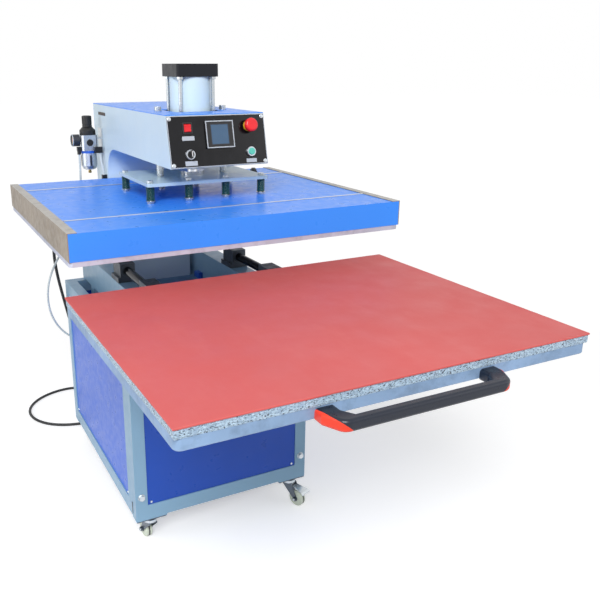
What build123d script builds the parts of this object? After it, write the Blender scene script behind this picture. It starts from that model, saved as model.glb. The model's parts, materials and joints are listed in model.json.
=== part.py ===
from build123d import *
import math
import os

# Slide-out heat press. Millimetres, +Z up, +Y to the back, floor at z = 0, x = 0 on the centre plane.
# The table stands pulled out to the front, and the platen is raised.

# Cabinet
cabinet_width = 643.8
cabinet_depth = 838.5
cabinet_height = 612.6
floor_clearance = 104.0
post_width = 42.0
front_post_depth = 80.0
rear_post_depth = 45.0
rail_width = 40.0
bottom_rail_height = 50.0
top_rail_height = 45.0
tube_wall = 2.5
panel_thickness = 2.0
panel_recess = 4.0
tab_size = 34.0
tab_thickness = 3.0
corner_plate_length = 108.0
corner_plate_depth = 40.0
corner_plate_thickness = 5.0
screw_inset_across = 13.0
screw_inset_up = 9.0
screw_head = 9.0
screw_head_height = 2.6
screw_shank = 5.0
screw_dome = 18.0
post_bolt_height = 86.0
post_bolt_head = 18.0
post_bolt_head_height = 8.0
post_washer = 24.0
post_washer_thickness = 2.0

# Casters; a heading is the way the wheel trails, in degrees from +Y towards +X
wheel_diameter = 60.0
wheel_width = 22.0
wheel_edge = 2.5
hub_width = 24.0
hub_diameter = 26.0
axle_diameter = 8.0
axle_nut = 13.0
axle_nut_height = 6.5
caster_trail = 40.0
caster_plate_length = 104.0
caster_plate_depth = 40.0
caster_plate_thickness = 3.0
caster_bolt_pitch = (88.0, 24.0)
caster_bolt_head = 11.0
caster_bolt_head_height = 4.0
fork_leg = 3.0
fork_eye = 20.0
raceway_diameter = 44.0
raceway_height = 11.0
kingpin_diameter = 12.0
kingpin_head = 18.0
kingpin_head_height = 3.0
front_left_heading = -6.0
front_right_heading = 158.0
rear_left_heading = 43.0
rear_right_heading = -43.0
pedal_pivot_drop = 8.0
pedal_pivot_ahead = 14.0
pedal_pin = 8.0
pedal_neck = 30.0
pedal_neck_rise = 2.3
pedal_neck_width = 22.0
pedal_tip_width = 44.0
pedal_sheet = 3.0
pedal_drop = 8.0
pedal_lip = 6.0
pedal_reach = 80.0
brake_pad_lift = 4.5
brake_pad_length = 10.0
brake_pad_width = 20.0

# Slide beams, bearings and shafts
beam_width = 70.0
beam_height = 115.0
beam_wall = 3.0
shaft_spacing = 424.0
shaft_diameter = 30.0
shaft_above_beam = 40.0
block_width = 70.0
block_length = 84.0
block_height = 66.0
block_foot_height = 18.0
block_shoulder = 9.0
bushing_diameter = 45.0
bushing_overhang = 2.0
bearing_pitch = 291.0
front_bearing_inset = 70.0
shaft_tail = 26.0

# Table
table_width = 1040.0
table_depth = 825.0
mat_thickness = 4.5
mat_corner = 3.0
felt_thickness = 19.5
felt_inset = 2.0
casting_thickness = 27.0
casting_inset = 4.0
casting_corner = 16.0
casting_bevel = 2.5
pocket_depth = 15.0
pocket_corner = 9.0
pocket_width = 190.0
pocket_length = 330.0
pocket_rib = 24.0
channel_depth = 10.0
channel_side = 8.0
channel_start = 190.0
table_gap = 115.9
table_above_shaft = 24.7
shaft_front_inset = 82.0
support_width = 60.0
support_length = 36.0
support_drop = 22.0
first_support = 108.0
support_pitch = 44.0

# Handle
handle_width = 462.0
handle_front_width = 416.0
handle_opening_width = 372.0
handle_opening_taper = 16.0
handle_reach = 68.0
handle_bar_depth = 24.0
handle_height = 27.0
handle_below_casting = 3.7
handle_flank = 20.0
cap_foot = (10.0, 2.0)
cap_wrap = (24.0, -6.0)
handle_corner = 10.0
handle_front_corner = 26.0
handle_edge = 8.0

# Column and head, one welded hollow frame
column_width = 321.0
column_depth = 157.5
plate_wall = 6.0
throat_wall = 5.0
front_wall = 3.0
foot_thickness = 8.0
head_underside = 1254.0
head_top = 1405.0
head_overhang = 839.6
throat_radius = 97.0
panel_lean = 12.9
cover_thickness = 2.5
rear_cover_thickness = 2.0

# Platen
platen_width = 1041.2
platen_depth = 877.5
platen_cover_height = 74.8
platen_gap = 10.0
press_stroke = 103.0
press_clearance = 0.3
heater_thickness = 14.0
heater_inset = 1.5
heater_corner = 8.0
bolt_engagement = 9.0
insulation_thickness = 38.0
insulation_inset = 10.0
cover_sheet = 2.0
trim_sheet = 3.0
skirt_lip = 27.0
strip_width = 8.0
strip_inset = 162.0

# Press plate and its springs
plate_width = 412.0
plate_depth = 303.0
plate_thickness = 10.0
plate_corner = 6.0
plate_above_platen = 53.4
spring_pitch = 127.0
spring_row_pitch = 253.0
spring_diameter = 27.0
spring_wire = 2.9
spring_turns = 12
spring_bolt = 10.0
washer_diameter = 30.0
washer_thickness = 2.5
spring_nut = 19.0
spring_nut_height = 6.0
bolt_head = 18.0
bolt_head_height = 7.0

# Cylinder and guide rods
cap_size = 140.0
cap_height = 39.0
cap_corner = 8.0
port_diameter = 18.0
port_depth = 22.0
barrel_diameter = 132.0
barrel_bore = 125.0
barrel_length = 137.0
tie_rod_diameter = 12.0
tie_rod_spacing = 110.0
tie_nut = 19.0
tie_nut_height = 8.0
tie_rod_recess = 1.0
piston_height = 25.0
piston_headroom = 5.0
rod_diameter = 32.0
rod_flange = 80.0
rod_flange_height = 12.0
guide_spacing = 224.0
guide_diameter = 22.0
guide_stud = 14.0
guide_nut = 22.0
guide_nut_height = 10.0
guide_above_head = 16.0
guide_bush_diameter = 34.0
guide_flange_diameter = 52.0
guide_flange_height = 8.0
mount_plate_lift = 62.0
mount_plate_thickness = 20.0
mount_plate_depth = 190.0
cover_opening = 162.0
passing_gap = 4.0

# Control panel and its operators, placed by u to the right and v up the panel from its middle
panel_height = 154.9
panel_sheet = 3.0
panel_edge = 1.5
panel_screw_u = 151.0
panel_screw_v = 68.0
left_column_u = -97.0
right_column_u = 103.3
upper_row_v = 40.0
lower_row_v = -38.0
operator_hole = 22.4
operator_ring = 30.0
operator_ring_height = 8.0
operator_ring_taper = 6.0
operator_cap = 21.0
operator_stem = 14.0
operator_stem_length = 10.0
operator_floor = 1.0
operator_depth = 34.0
operator_well = 14.0
button_proud = 4.0
button_travel = 3.0
button_edge = 1.5
selector_proud = 2.0
selector_grip = (25.0, 8.0, 11.0)
rocker_width = 31.0
rocker_height = 33.0
rocker_flange = 2.5
rocker_body_depth = 28.0
rocker_opening = (22.0, 25.4)
rocker_pivot_depth = 4.0
rocker_face = 7.0
rocker_tilt = 10.0
controller_u = 3.9
controller_v = 17.8
controller_width = 90.0
controller_height = 80.0
controller_front = 7.0
controller_depth = 60.0
controller_rim = 3.0
controller_rim_depth = 1.2
display_size = (56.0, 58.0)
display_depth = 2.4
body_inset = 3.0
collar_diameter = 34.0
collar_height = 10.0
collar_taper = 8.0
estop_cap = 41.0
estop_cap_height = 15.0
estop_stand = 15.5
estop_stem = 16.0
estop_edge = 7.0

# Air preparation unit on the column's left side
unit_side_gap = 50.5
unit_setback = 84.7
unit_body_width = 58.0
unit_body_bottom = 1239.0
unit_body_height = 57.0
unit_corner = 6.0
bonnet_diameter = 58.0
bonnet_height = 17.0
bonnet_cone_height = 11.0
knob_stem = 16.0
knob_stem_height = 18.0
knob_diameter = 36.0
knob_height = 42.0
knob_well = 22.0
knob_edge = 3.0
bowl_diameter = 58.0
bowl_height = 74.0
bowl_lip = 16.0
drain_diameter = 10.0
drain_height = 12.0
gauge_diameter = 44.0
gauge_depth = 27.0
gauge_rim = 2.5
gauge_dial_depth = 5.0
gauge_stem = 14.0
gauge_stem_length = 5.0
gauge_height = 1277.0
needle_length = 14.0
needle_post = 3.0
needle_lift = 1.0
bracket_thickness = 4.0
bracket_width = 52.0
bracket_drop = 4.0
bracket_arm_below = 14.0
fitting_size = 14.0
fitting_reach = 2.0
hose_fitting_size = 16.0
hose_fitting_height = 22.0
air_tube_diameter = 8.0
hose_diameter = 10.0
inlet_height = 424.0
inlet_setback = 22.0
inlet_x = -180.0

# Valve in the head
valve_size = (100.0, 27.0, 34.0)
valve_coil = (40.0, 24.0, 26.0)
valve_setback = 40.0

# Power cord
cord_diameter = 12.0
gland_size = 26.0
gland_nose = 24.0
gland_nose_taper = 9.0
gland_length = 34.0
gland_hex_height = 8.0
gland_height = 1050.0
gland_setback = 78.0
cord_lift = 0.2
coil_turns = 4
coil_radius = 66.0
coil_gap = 0.8
coil_x = 120.0
coil_behind = 209.0
coil_lead = 12.0
coil_tail = 62.0
plug_diameter = 37.6
plug_step = 3.0
plug_length = 62.0
plug_pin = 5.0
plug_pin_length = 19.0
plug_pin_spacing = 19.0

# Clearances
running_gap = 0.08
seat_gap = 0.05
free_gap = 0.3

# Places that follow from the sizes above
rear_trail = max(
    (caster_trail + wheel_diameter / 2) * math.cos(math.radians(heading))
    + (wheel_width / 2 - wheel_edge) * math.sin(math.radians(abs(heading)))
    for heading in (rear_left_heading, rear_right_heading)
)
wheel_overhang = rear_trail - corner_plate_depth / 2
overall_depth = handle_reach + table_depth + table_gap + cabinet_depth + wheel_overhang
rear_y = overall_depth / 2 - wheel_overhang
cabinet_front_y = rear_y - cabinet_depth
table_rear_y = cabinet_front_y - table_gap
table_front_y = table_rear_y - table_depth
table_y = (table_rear_y + table_front_y) / 2
handle_front_y = table_front_y - handle_reach
column_front_y = rear_y - column_depth
head_front_y = rear_y - head_overhang
platen_rear_y = column_front_y - platen_gap
platen_front_y = platen_rear_y - platen_depth
platen_y = (platen_front_y + platen_rear_y) / 2
unit_y = rear_y - unit_setback

cabinet_top = floor_clearance + cabinet_height
beam_top = cabinet_top + beam_height
shaft_z = beam_top + shaft_above_beam
table_bottom = shaft_z + table_above_shaft
casting_top = table_bottom + casting_thickness
felt_top = casting_top + felt_thickness
mat_top = felt_top + mat_thickness
heater_bottom = mat_top + press_clearance + press_stroke
heater_top = heater_bottom + heater_thickness
cover_top = heater_top + platen_cover_height
plate_bottom = cover_top + plate_above_platen
plate_top = plate_bottom + plate_thickness
mount_plate_bottom = head_underside + mount_plate_lift
cylinder_bottom = mount_plate_bottom + mount_plate_thickness
barrel_bottom = cylinder_bottom + cap_height
barrel_top = barrel_bottom + barrel_length
cylinder_top = barrel_top + cap_height

half_cabinet = cabinet_width / 2
half_column = column_width / 2
half_platen = platen_width / 2
shaft_x = shaft_spacing / 2
guide_x = guide_spacing / 2
column_left = -half_column
unit_x = column_left - unit_side_gap

lean_sin = math.sin(math.radians(panel_lean))
lean_cos = math.cos(math.radians(panel_lean))
panel_slope = lean_sin / lean_cos
panel_normal = (0, -lean_cos, lean_sin)
panel_middle = (
    0,
    head_front_y + panel_height / 2 * lean_sin,
    head_underside + panel_height / 2 * lean_cos,
)

os.makedirs("parts", exist_ok=True)


def save(builder, name):
    builder.part.label = name
    export_step(builder.part, f"parts/{name}.step")


def block(x, y, z, mode=Mode.ADD):
    """A box between two corners, each axis given as (low, high)."""
    middle = ((x[0] + x[1]) / 2, (y[0] + y[1]) / 2, (z[0] + z[1]) / 2)
    with Locations(middle):
        Box(x[1] - x[0], y[1] - y[0], z[1] - z[0], mode=mode)


def post(diameter, height, foot, mode=Mode.ADD):
    """An upright round bar that starts at foot."""
    with Locations(foot):
        Cylinder(diameter / 2, height, align=(Align.CENTER, Align.CENTER, Align.MIN), mode=mode)


def disc(plane, diameter, amount, taper=0.0, mode=Mode.ADD):
    """A round bar on a plane, along its normal."""
    with BuildSketch(plane) as outline:
        Circle(diameter / 2)
    extrude(outline.sketch, amount=amount, taper=taper, mode=mode)


def slab(plane, width, height, amount, corner=0.0, mode=Mode.ADD):
    """A rectangular bar on a plane, along its normal."""
    with BuildSketch(plane) as outline:
        if corner > 0:
            RectangleRounded(width, height, corner)
        else:
            Rectangle(width, height)
    extrude(outline.sketch, amount=amount, mode=mode)


def nut(plane, across_flats, amount):
    """A hexagonal bar on a plane, along its normal."""
    with BuildSketch(plane) as outline:
        RegularPolygon(across_flats / math.sqrt(3), 6)
    extrude(outline.sketch, amount=amount)


def screw(plane, head, head_height, shank=0.0, length=0.0):
    """A domed head on the plane, and a shank of the given length behind it."""
    disc(plane, head, head_height, taper=screw_dome)
    if length > 0:
        disc(plane, shank, -length)


def level(x, y, z):
    """A horizontal plane at a point."""
    return Plane(origin=(x, y, z), z_dir=(0, 0, 1))


def around(middle, size):
    """A stretch of the given size about its middle."""
    return (middle - size / 2, middle + size / 2)


def both(low, high):
    """The same stretch of x on the left and on the right of the centre plane."""
    return ((-high, -low), (low, high))


def shrink(span, amount):
    return (span[0] + amount, span[1] - amount)


def panel_plane(u=0.0, v=0.0, out=0.0):
    """A plane on the control panel's outer face: u to the right, v up the panel, out along its normal."""
    face = Plane(origin=panel_middle, x_dir=(1, 0, 0), z_dir=panel_normal)
    origin = face.from_local_coords((u, v, panel_sheet + out))
    return Plane(origin=origin, x_dir=face.x_dir, z_dir=face.z_dir)


# Cabinet frame: welded box tube, with plates under its corners and tabs for the panels' screws
full_x = (-half_cabinet, half_cabinet)
full_y = (cabinet_front_y, rear_y)
front_post_y = (cabinet_front_y, cabinet_front_y + front_post_depth)
rear_post_y = (rear_y - rear_post_depth, rear_y)
front_rail_y = (cabinet_front_y, cabinet_front_y + rail_width)
rear_rail_y = (rear_y - rail_width, rear_y)
bottom_rail_z = (floor_clearance, floor_clearance + bottom_rail_height)
top_rail_z = (cabinet_top - top_rail_height, cabinet_top)
plate_z = floor_clearance - corner_plate_thickness

bars = [
    (x, y, (floor_clearance, cabinet_top))
    for x in both(half_cabinet - post_width, half_cabinet)
    for y in (front_post_y, rear_post_y)
]
bars += [
    (x, full_y, z)
    for x in both(half_cabinet - rail_width, half_cabinet)
    for z in (bottom_rail_z, top_rail_z)
]
bars += [(full_x, y, z) for y in (front_rail_y, rear_rail_y) for z in (bottom_rail_z, top_rail_z)]

panel_x = half_cabinet - post_width
panel_z = (bottom_rail_z[1], top_rail_z[0])
side_panel_y = (front_post_y[1], rear_post_y[0])
side_panel_x = (half_cabinet - panel_recess - panel_thickness, half_cabinet - panel_recess)
front_panel_y = (cabinet_front_y + panel_recess, cabinet_front_y + panel_recess + panel_thickness)
rear_panel_y = (rear_y - panel_recess - panel_thickness, rear_y - panel_recess)

tabs = []
for tab_z in ((panel_z[0], panel_z[0] + tab_size), (panel_z[1] - tab_size, panel_z[1])):
    for tab_x in both(panel_x - tab_size, panel_x):
        tabs.append((tab_x, (front_panel_y[1], front_panel_y[1] + tab_thickness), tab_z))
        tabs.append((tab_x, (rear_panel_y[0] - tab_thickness, rear_panel_y[0]), tab_z))
    for tab_x in both(side_panel_x[0] - tab_thickness, side_panel_x[0]):
        tabs.append((tab_x, (side_panel_y[0], side_panel_y[0] + tab_size), tab_z))
        tabs.append((tab_x, (side_panel_y[1] - tab_size, side_panel_y[1]), tab_z))

with BuildPart() as cabinet_frame:
    for bar in bars:
        block(*bar)
    for tab in tabs:
        block(*tab)
    for x in both(half_cabinet - corner_plate_length, half_cabinet):
        for y in (cabinet_front_y, rear_y - corner_plate_depth):
            block(x, (y, y + corner_plate_depth), (plate_z, floor_clearance))
    for bar in bars:
        block(*[shrink(span, tube_wall) for span in bar], mode=Mode.SUBTRACT)
save(cabinet_frame, "cabinet_frame")

# Infill panels, set back in the frame and held by a screw in each corner
screw_x = panel_x - screw_inset_across
screw_y = shrink(side_panel_y, screw_inset_across)
screw_z = shrink(panel_z, screw_inset_up)
screw_hole = screw_shank + 2 * seat_gap

with BuildPart() as cabinet_panels:
    for x in both(*side_panel_x):
        block(x, side_panel_y, panel_z)
    for y in (front_panel_y, rear_panel_y):
        block((-panel_x, panel_x), y, panel_z)
    with Locations(*[(x, 0, z) for x in (-screw_x, screw_x) for z in screw_z]):
        Cylinder(screw_hole / 2, 2 * overall_depth, rotation=(90, 0, 0), mode=Mode.SUBTRACT)
    with Locations(*[(0, y, z) for y in screw_y for z in screw_z]):
        Cylinder(screw_hole / 2, 2 * cabinet_width, rotation=(0, 90, 0), mode=Mode.SUBTRACT)
save(cabinet_panels, "cabinet_panels")

panel_screws = []
for z in screw_z:
    for x in (-screw_x, screw_x):
        panel_screws.append(Plane(origin=(x, front_panel_y[0], z), z_dir=(0, -1, 0)))
        panel_screws.append(Plane(origin=(x, rear_panel_y[1], z), z_dir=(0, 1, 0)))
    for y in screw_y:
        for side in (-1, 1):
            panel_screws.append(Plane(origin=(side * side_panel_x[1], y, z), z_dir=(side, 0, 0)))

with BuildPart() as cabinet_screws:
    for plane in panel_screws:
        screw(plane, screw_head, screw_head_height, screw_shank, panel_thickness)
    for side in (-1, 1):
        spot = (side * (half_cabinet - post_width / 2), cabinet_front_y, floor_clearance + post_bolt_height)
        washer_face = Plane(origin=spot, z_dir=(0, -1, 0))
        disc(washer_face, post_washer, post_washer_thickness)
        nut(washer_face.offset(post_washer_thickness), post_bolt_head, post_bolt_head_height)
    for u in (-panel_screw_u, panel_screw_u):
        for v in (-panel_screw_v, panel_screw_v):
            screw(panel_plane(u, v), screw_head, screw_head_height, screw_shank, panel_sheet)
save(cabinet_screws, "cabinet_screws")

# Casters: a fixed top plate with the kingpin, a fork that swivels on it, and a wheel on the fork's axle
caster_x = half_cabinet - corner_plate_length / 2
caster_front_y = cabinet_front_y + corner_plate_depth / 2
caster_rear_y = rear_y - corner_plate_depth / 2
casters = {
    "front_left": (-caster_x, caster_front_y, front_left_heading),
    "front_right": (caster_x, caster_front_y, front_right_heading),
    "rear_left": (-caster_x, caster_rear_y, rear_left_heading),
    "rear_right": (caster_x, caster_rear_y, rear_right_heading),
}
axle_z = wheel_diameter / 2
raceway_top = plate_z - caster_plate_thickness - free_gap
raceway_bottom = raceway_top - raceway_height
crown_bottom = raceway_bottom - fork_leg
kingpin_bottom = crown_bottom - free_gap - kingpin_head_height
leg_inner = hub_width / 2 + free_gap
leg_outer = leg_inner + fork_leg
crown_half = raceway_diameter / 2
eye_radius = fork_eye / 2

with BuildPart() as caster_plates:
    for x, y, heading in casters.values():
        plate_x = around(x, caster_plate_length)
        block(plate_x, around(y, caster_plate_depth), (plate_z - caster_plate_thickness, plate_z))
        post(kingpin_diameter, plate_z - kingpin_bottom, (x, y, kingpin_bottom))
        post(kingpin_head, kingpin_head_height, (x, y, kingpin_bottom))
        for bolt_x in around(x, caster_bolt_pitch[0]):
            for bolt_y in around(y, caster_bolt_pitch[1]):
                spot = (bolt_x, bolt_y, plate_z - caster_plate_thickness)
                screw(Plane(origin=spot, z_dir=(0, 0, -1)), caster_bolt_head, caster_bolt_head_height)
save(caster_plates, "caster_plates")


def wheel_plane(place, along=0.0, height=0.0, across=0.0):
    """Square to a caster's axle: local x along the trail, local y up, its normal along the axle."""
    x, y, heading = place
    turn = math.radians(heading)
    axle_way = Vector(math.cos(turn), -math.sin(turn), 0)
    trail_way = Vector(math.sin(turn), math.cos(turn), 0)
    origin = Vector(x, y, height) + trail_way * along + axle_way * across
    return Plane(origin=origin, x_dir=trail_way, z_dir=axle_way)


def sheet_leg(place, across, points, thickness):
    """A flat outline square to a caster's axle, given along the trail and up, and its thickness."""
    with BuildSketch(wheel_plane(place, across=across)) as outline:
        with BuildLine():
            Polyline(*points, close=True)
        make_face()
    extrude(outline.sketch, amount=thickness)


leg_outline = [
    (-crown_half, raceway_bottom),
    (crown_half, raceway_bottom),
    (caster_trail + eye_radius, axle_z),
    (caster_trail - eye_radius, axle_z),
    (-crown_half, crown_bottom - fork_leg),
]
crown_outline = leg_outline[:2] + [(crown_half, crown_bottom), (-crown_half, crown_bottom)]
for corner, place in casters.items():
    centre_x, centre_y, heading = place
    with BuildPart() as fork:
        post(raceway_diameter, raceway_height, (centre_x, centre_y, raceway_bottom))
        sheet_leg(place, -leg_outer, crown_outline, 2 * leg_outer)
        for across in (-leg_outer, leg_inner):
            sheet_leg(place, across, leg_outline, fork_leg)
            disc(wheel_plane(place, caster_trail, axle_z, across), fork_eye, fork_leg)
        disc(wheel_plane(place, caster_trail, axle_z, -leg_outer), axle_diameter, 2 * leg_outer)
        nut(wheel_plane(place, caster_trail, axle_z, -leg_outer), axle_nut, -axle_nut_height)
        nut(wheel_plane(place, caster_trail, axle_z, leg_outer), axle_nut, axle_nut_height)
        post(kingpin_diameter + 2 * running_gap, raceway_top, (centre_x, centre_y, 0), mode=Mode.SUBTRACT)
    save(fork, f"{corner}_fork")

    with BuildPart() as wheel:
        disc(wheel_plane(place, caster_trail, axle_z, -wheel_width / 2), wheel_diameter, wheel_width)
        chamfer(wheel.edges().filter_by(GeomType.CIRCLE), wheel_edge)
        hub_side = wheel_plane(place, caster_trail, axle_z, -hub_width / 2)
        disc(hub_side, hub_diameter, hub_width)
        disc(hub_side, axle_diameter + 2 * running_gap, hub_width, mode=Mode.SUBTRACT)
    save(wheel, f"{corner}_wheel")

# Brake pedal of the front right caster, hinged between the fork's legs and reaching over the wheel
brake_place = casters["front_right"]
pivot_z = crown_bottom - pedal_pivot_drop
neck_z = pivot_z - pedal_sheet / 2 + pedal_neck_rise
pedal_underside = [
    (pedal_pivot_ahead, pivot_z - pedal_sheet / 2),
    (pedal_neck, neck_z),
    (pedal_reach - pedal_lip, neck_z - pedal_drop),
    (pedal_reach, neck_z - pedal_drop - pedal_lip),
]
pedal_topside = [(along, height + pedal_sheet) for along, height in reversed(pedal_underside)]
pad_along = around(caster_trail, brake_pad_length)
pad_z = (wheel_diameter + brake_pad_lift, neck_z)
pad_outline = [
    (pad_along[0], pad_z[0]),
    (pad_along[1], pad_z[0]),
    (pad_along[1], pad_z[1]),
    (pad_along[0], pad_z[1]),
]
floor_plane = wheel_plane(brake_place)
pedal_plan = Plane(origin=floor_plane.origin, x_dir=floor_plane.x_dir, z_dir=(0, 0, 1))
with BuildPart() as brake_pedal:
    sheet_leg(brake_place, -pedal_tip_width / 2, pedal_underside + pedal_topside, pedal_tip_width)
    with BuildSketch(pedal_plan) as tread:
        with BuildLine():
            Polyline(
                (0, -pedal_neck_width / 2),
                (pedal_neck, -pedal_neck_width / 2),
                (pedal_reach, -pedal_tip_width / 2),
                (pedal_reach, pedal_tip_width / 2),
                (pedal_neck, pedal_neck_width / 2),
                (0, pedal_neck_width / 2),
                close=True,
            )
        make_face()
    extrude(tread.sketch, amount=plate_z, mode=Mode.INTERSECT)
    disc(wheel_plane(brake_place, pedal_pivot_ahead, pivot_z, -hub_width / 2), pedal_pin, hub_width)
    sheet_leg(brake_place, -brake_pad_width / 2, pad_outline, brake_pad_width)
save(brake_pedal, "brake_pedal")

# Two closed box beams on the cabinet carry the table's slide, and a tube across under them the column
beam_sides = (shaft_x - beam_width / 2, shaft_x + beam_width / 2)
beams = [(x, full_y, (cabinet_top, beam_top)) for x in both(*beam_sides)]
cross_tube = (
    (-beam_sides[1], beam_sides[1]),
    (column_front_y, column_front_y + rail_width),
    top_rail_z,
)
with BuildPart() as slide_beams:
    for bar in beams + [cross_tube]:
        block(*bar)
    for bar in beams:
        block(*[shrink(span, beam_wall) for span in bar], mode=Mode.SUBTRACT)
    block(*[shrink(span, tube_wall) for span in cross_tube], mode=Mode.SUBTRACT)
save(slide_beams, "slide_beams")


def along_shafts(front, rear, diameter, mode=Mode.ADD):
    """Round bars on both shaft lines, from y = front to y = rear."""
    for x in (-shaft_x, shaft_x):
        disc(Plane(origin=(x, front, shaft_z), z_dir=(0, 1, 0)), diameter, rear - front, mode=mode)


# Four pillow blocks, each with a linear bushing in its bore
front_bearing_y = cabinet_front_y + front_bearing_inset
bearing_rows = (front_bearing_y, front_bearing_y + bearing_pitch)
block_top = beam_top + block_height
with BuildPart() as bearing_blocks:
    for bearing_y in bearing_rows:
        housing_y = around(bearing_y, block_length)
        bushing_y = (housing_y[0] - bushing_overhang, housing_y[1] + bushing_overhang)
        for x in (-shaft_x, shaft_x):
            block(around(x, block_width), housing_y, (beam_top, beam_top + block_foot_height))
            block(around(x, block_width - 2 * block_shoulder), housing_y, (beam_top, block_top))
        along_shafts(*housing_y, bushing_diameter + 2 * seat_gap, mode=Mode.SUBTRACT)
        along_shafts(*bushing_y, bushing_diameter)
        along_shafts(*bushing_y, shaft_diameter + 2 * running_gap, mode=Mode.SUBTRACT)
save(bearing_blocks, "bearing_blocks")

# Column and head: side plates, throat plate, front wall and foot, welded into one hollow frame
throat_y = column_front_y - throat_radius
throat_z = head_underside - throat_radius
head_top_front_y = head_front_y + (head_top - head_underside) * panel_slope
frame_rear_y = rear_y - rear_cover_thickness


def operator_holes():
    """The control panel's cut-outs, through the panel and the wall behind it."""
    reach = panel_sheet + 2 * front_wall
    body_gap = 2 * free_gap - 2 * body_inset
    for u, v in (
        (left_column_u, lower_row_v),
        (right_column_u, lower_row_v),
        (right_column_u, upper_row_v),
    ):
        disc(panel_plane(u, v, reach), operator_hole, -2 * reach, mode=Mode.SUBTRACT)
    for u, v, width, height in (
        (left_column_u, upper_row_v, rocker_width, rocker_height),
        (controller_u, controller_v, controller_width, controller_height),
    ):
        opening = (width + body_gap, height + body_gap)
        slab(panel_plane(u, v, reach), *opening, -2 * reach, mode=Mode.SUBTRACT)


with BuildPart() as c_frame:
    with BuildSketch(Plane(origin=(column_left, 0, 0), x_dir=(0, 1, 0), z_dir=(1, 0, 0))):
        with BuildLine():
            Polyline(
                (column_front_y, throat_z),
                (column_front_y, cabinet_top),
                (frame_rear_y, cabinet_top),
                (frame_rear_y, head_top),
                (head_top_front_y, head_top),
                (head_front_y, head_underside),
                (throat_y, head_underside),
            )
            CenterArc((throat_y, throat_z), throat_radius, 0, 90)
        make_face()
    extrude(amount=column_width)
    with BuildSketch(Plane(origin=(column_left + plate_wall, 0, 0), x_dir=(0, 1, 0), z_dir=(1, 0, 0))):
        with BuildLine():
            Polyline(
                (column_front_y + throat_wall, throat_z),
                (column_front_y + throat_wall, cabinet_top + foot_thickness),
                (rear_y, cabinet_top + foot_thickness),
                (rear_y, head_top + cover_thickness),
                (head_top_front_y + front_wall + cover_thickness * panel_slope, head_top + cover_thickness),
                (head_front_y + front_wall + throat_wall * panel_slope, head_underside + throat_wall),
                (throat_y, head_underside + throat_wall),
            )
            CenterArc((throat_y, throat_z), throat_radius + throat_wall, 0, 90)
        make_face()
    extrude(amount=column_width - 2 * plate_wall, mode=Mode.SUBTRACT)
    operator_holes()
    for x in (-guide_x, guide_x):
        bush_foot = (x, platen_y, head_underside)
        post(guide_bush_diameter + 2 * seat_gap, throat_wall, bush_foot, mode=Mode.SUBTRACT)
    post(rod_diameter + 2 * passing_gap, throat_wall, (0, platen_y, head_underside), mode=Mode.SUBTRACT)
save(c_frame, "c_frame")

with BuildPart() as column_rear_cover:
    block((-half_column, half_column), (frame_rear_y, rear_y), (cabinet_top, head_top))
save(column_rear_cover, "column_rear_cover")

cover_z = (head_top, head_top + cover_thickness)
with BuildPart() as head_top_cover:
    block((-half_column, half_column), (head_top_front_y, rear_y), cover_z)
    block(around(0, cover_opening), around(platen_y, cover_opening), cover_z, mode=Mode.SUBTRACT)
    for x in (-guide_x, guide_x):
        guide_hole = guide_diameter + 2 * passing_gap
        post(guide_hole, cover_thickness, (x, platen_y, head_top), mode=Mode.SUBTRACT)
save(head_top_cover, "head_top_cover")

# Mounting plate inside the head, with the guide rods' flanged bushes under it
mount_half = half_column - plate_wall
bush_height = cylinder_bottom - head_underside
with BuildPart() as cylinder_mount:
    mount_y = around(platen_y, mount_plate_depth)
    block((-mount_half, mount_half), mount_y, (mount_plate_bottom, cylinder_bottom))
    rod_hole = rod_diameter + 2 * passing_gap
    post(rod_hole, mount_plate_thickness, (0, platen_y, mount_plate_bottom), mode=Mode.SUBTRACT)
    for x in (-guide_x, guide_x):
        bush_foot = (x, platen_y, head_underside)
        flange_z = mount_plate_bottom - seat_gap - guide_flange_height
        post(guide_bush_diameter + 2 * seat_gap, bush_height, bush_foot, mode=Mode.SUBTRACT)
        post(guide_bush_diameter, bush_height, bush_foot)
        post(guide_flange_diameter, guide_flange_height, (x, platen_y, flange_z))
        post(guide_diameter + 2 * running_gap, bush_height, bush_foot, mode=Mode.SUBTRACT)
save(cylinder_mount, "cylinder_mount")

# Air cylinder on the head
tie_rod_spots = [
    (x, y) for x in around(0, tie_rod_spacing) for y in around(platen_y, tie_rod_spacing)
]
tie_rod_top = cylinder_top - tie_rod_recess
nut_well = 2 * (tie_nut / math.sqrt(3) + 1)
nut_well_depth = tie_nut_height + tie_rod_recess

with BuildPart() as cylinder_caps:
    for cap_bottom in (cylinder_bottom, barrel_top):
        slab(level(0, platen_y, cap_bottom), cap_size, cap_size, cap_height, corner=cap_corner)
        port = (0, platen_y + cap_size / 2, cap_bottom + cap_height / 2)
        disc(Plane(origin=port, z_dir=(0, -1, 0)), port_diameter, port_depth, mode=Mode.SUBTRACT)
        for x, y in tie_rod_spots:
            post(tie_rod_diameter + 2 * seat_gap, cap_height, (x, y, cap_bottom), mode=Mode.SUBTRACT)
    for x, y in tie_rod_spots:
        post(nut_well, nut_well_depth, (x, y, cylinder_top - nut_well_depth), mode=Mode.SUBTRACT)
    post(rod_diameter + 2 * running_gap, cap_height, (0, platen_y, cylinder_bottom), mode=Mode.SUBTRACT)
save(cylinder_caps, "cylinder_caps")

with BuildPart() as cylinder_barrel:
    post(barrel_diameter, barrel_length, (0, platen_y, barrel_bottom))
    post(barrel_bore, barrel_length, (0, platen_y, barrel_bottom), mode=Mode.SUBTRACT)
save(cylinder_barrel, "cylinder_barrel")

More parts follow.
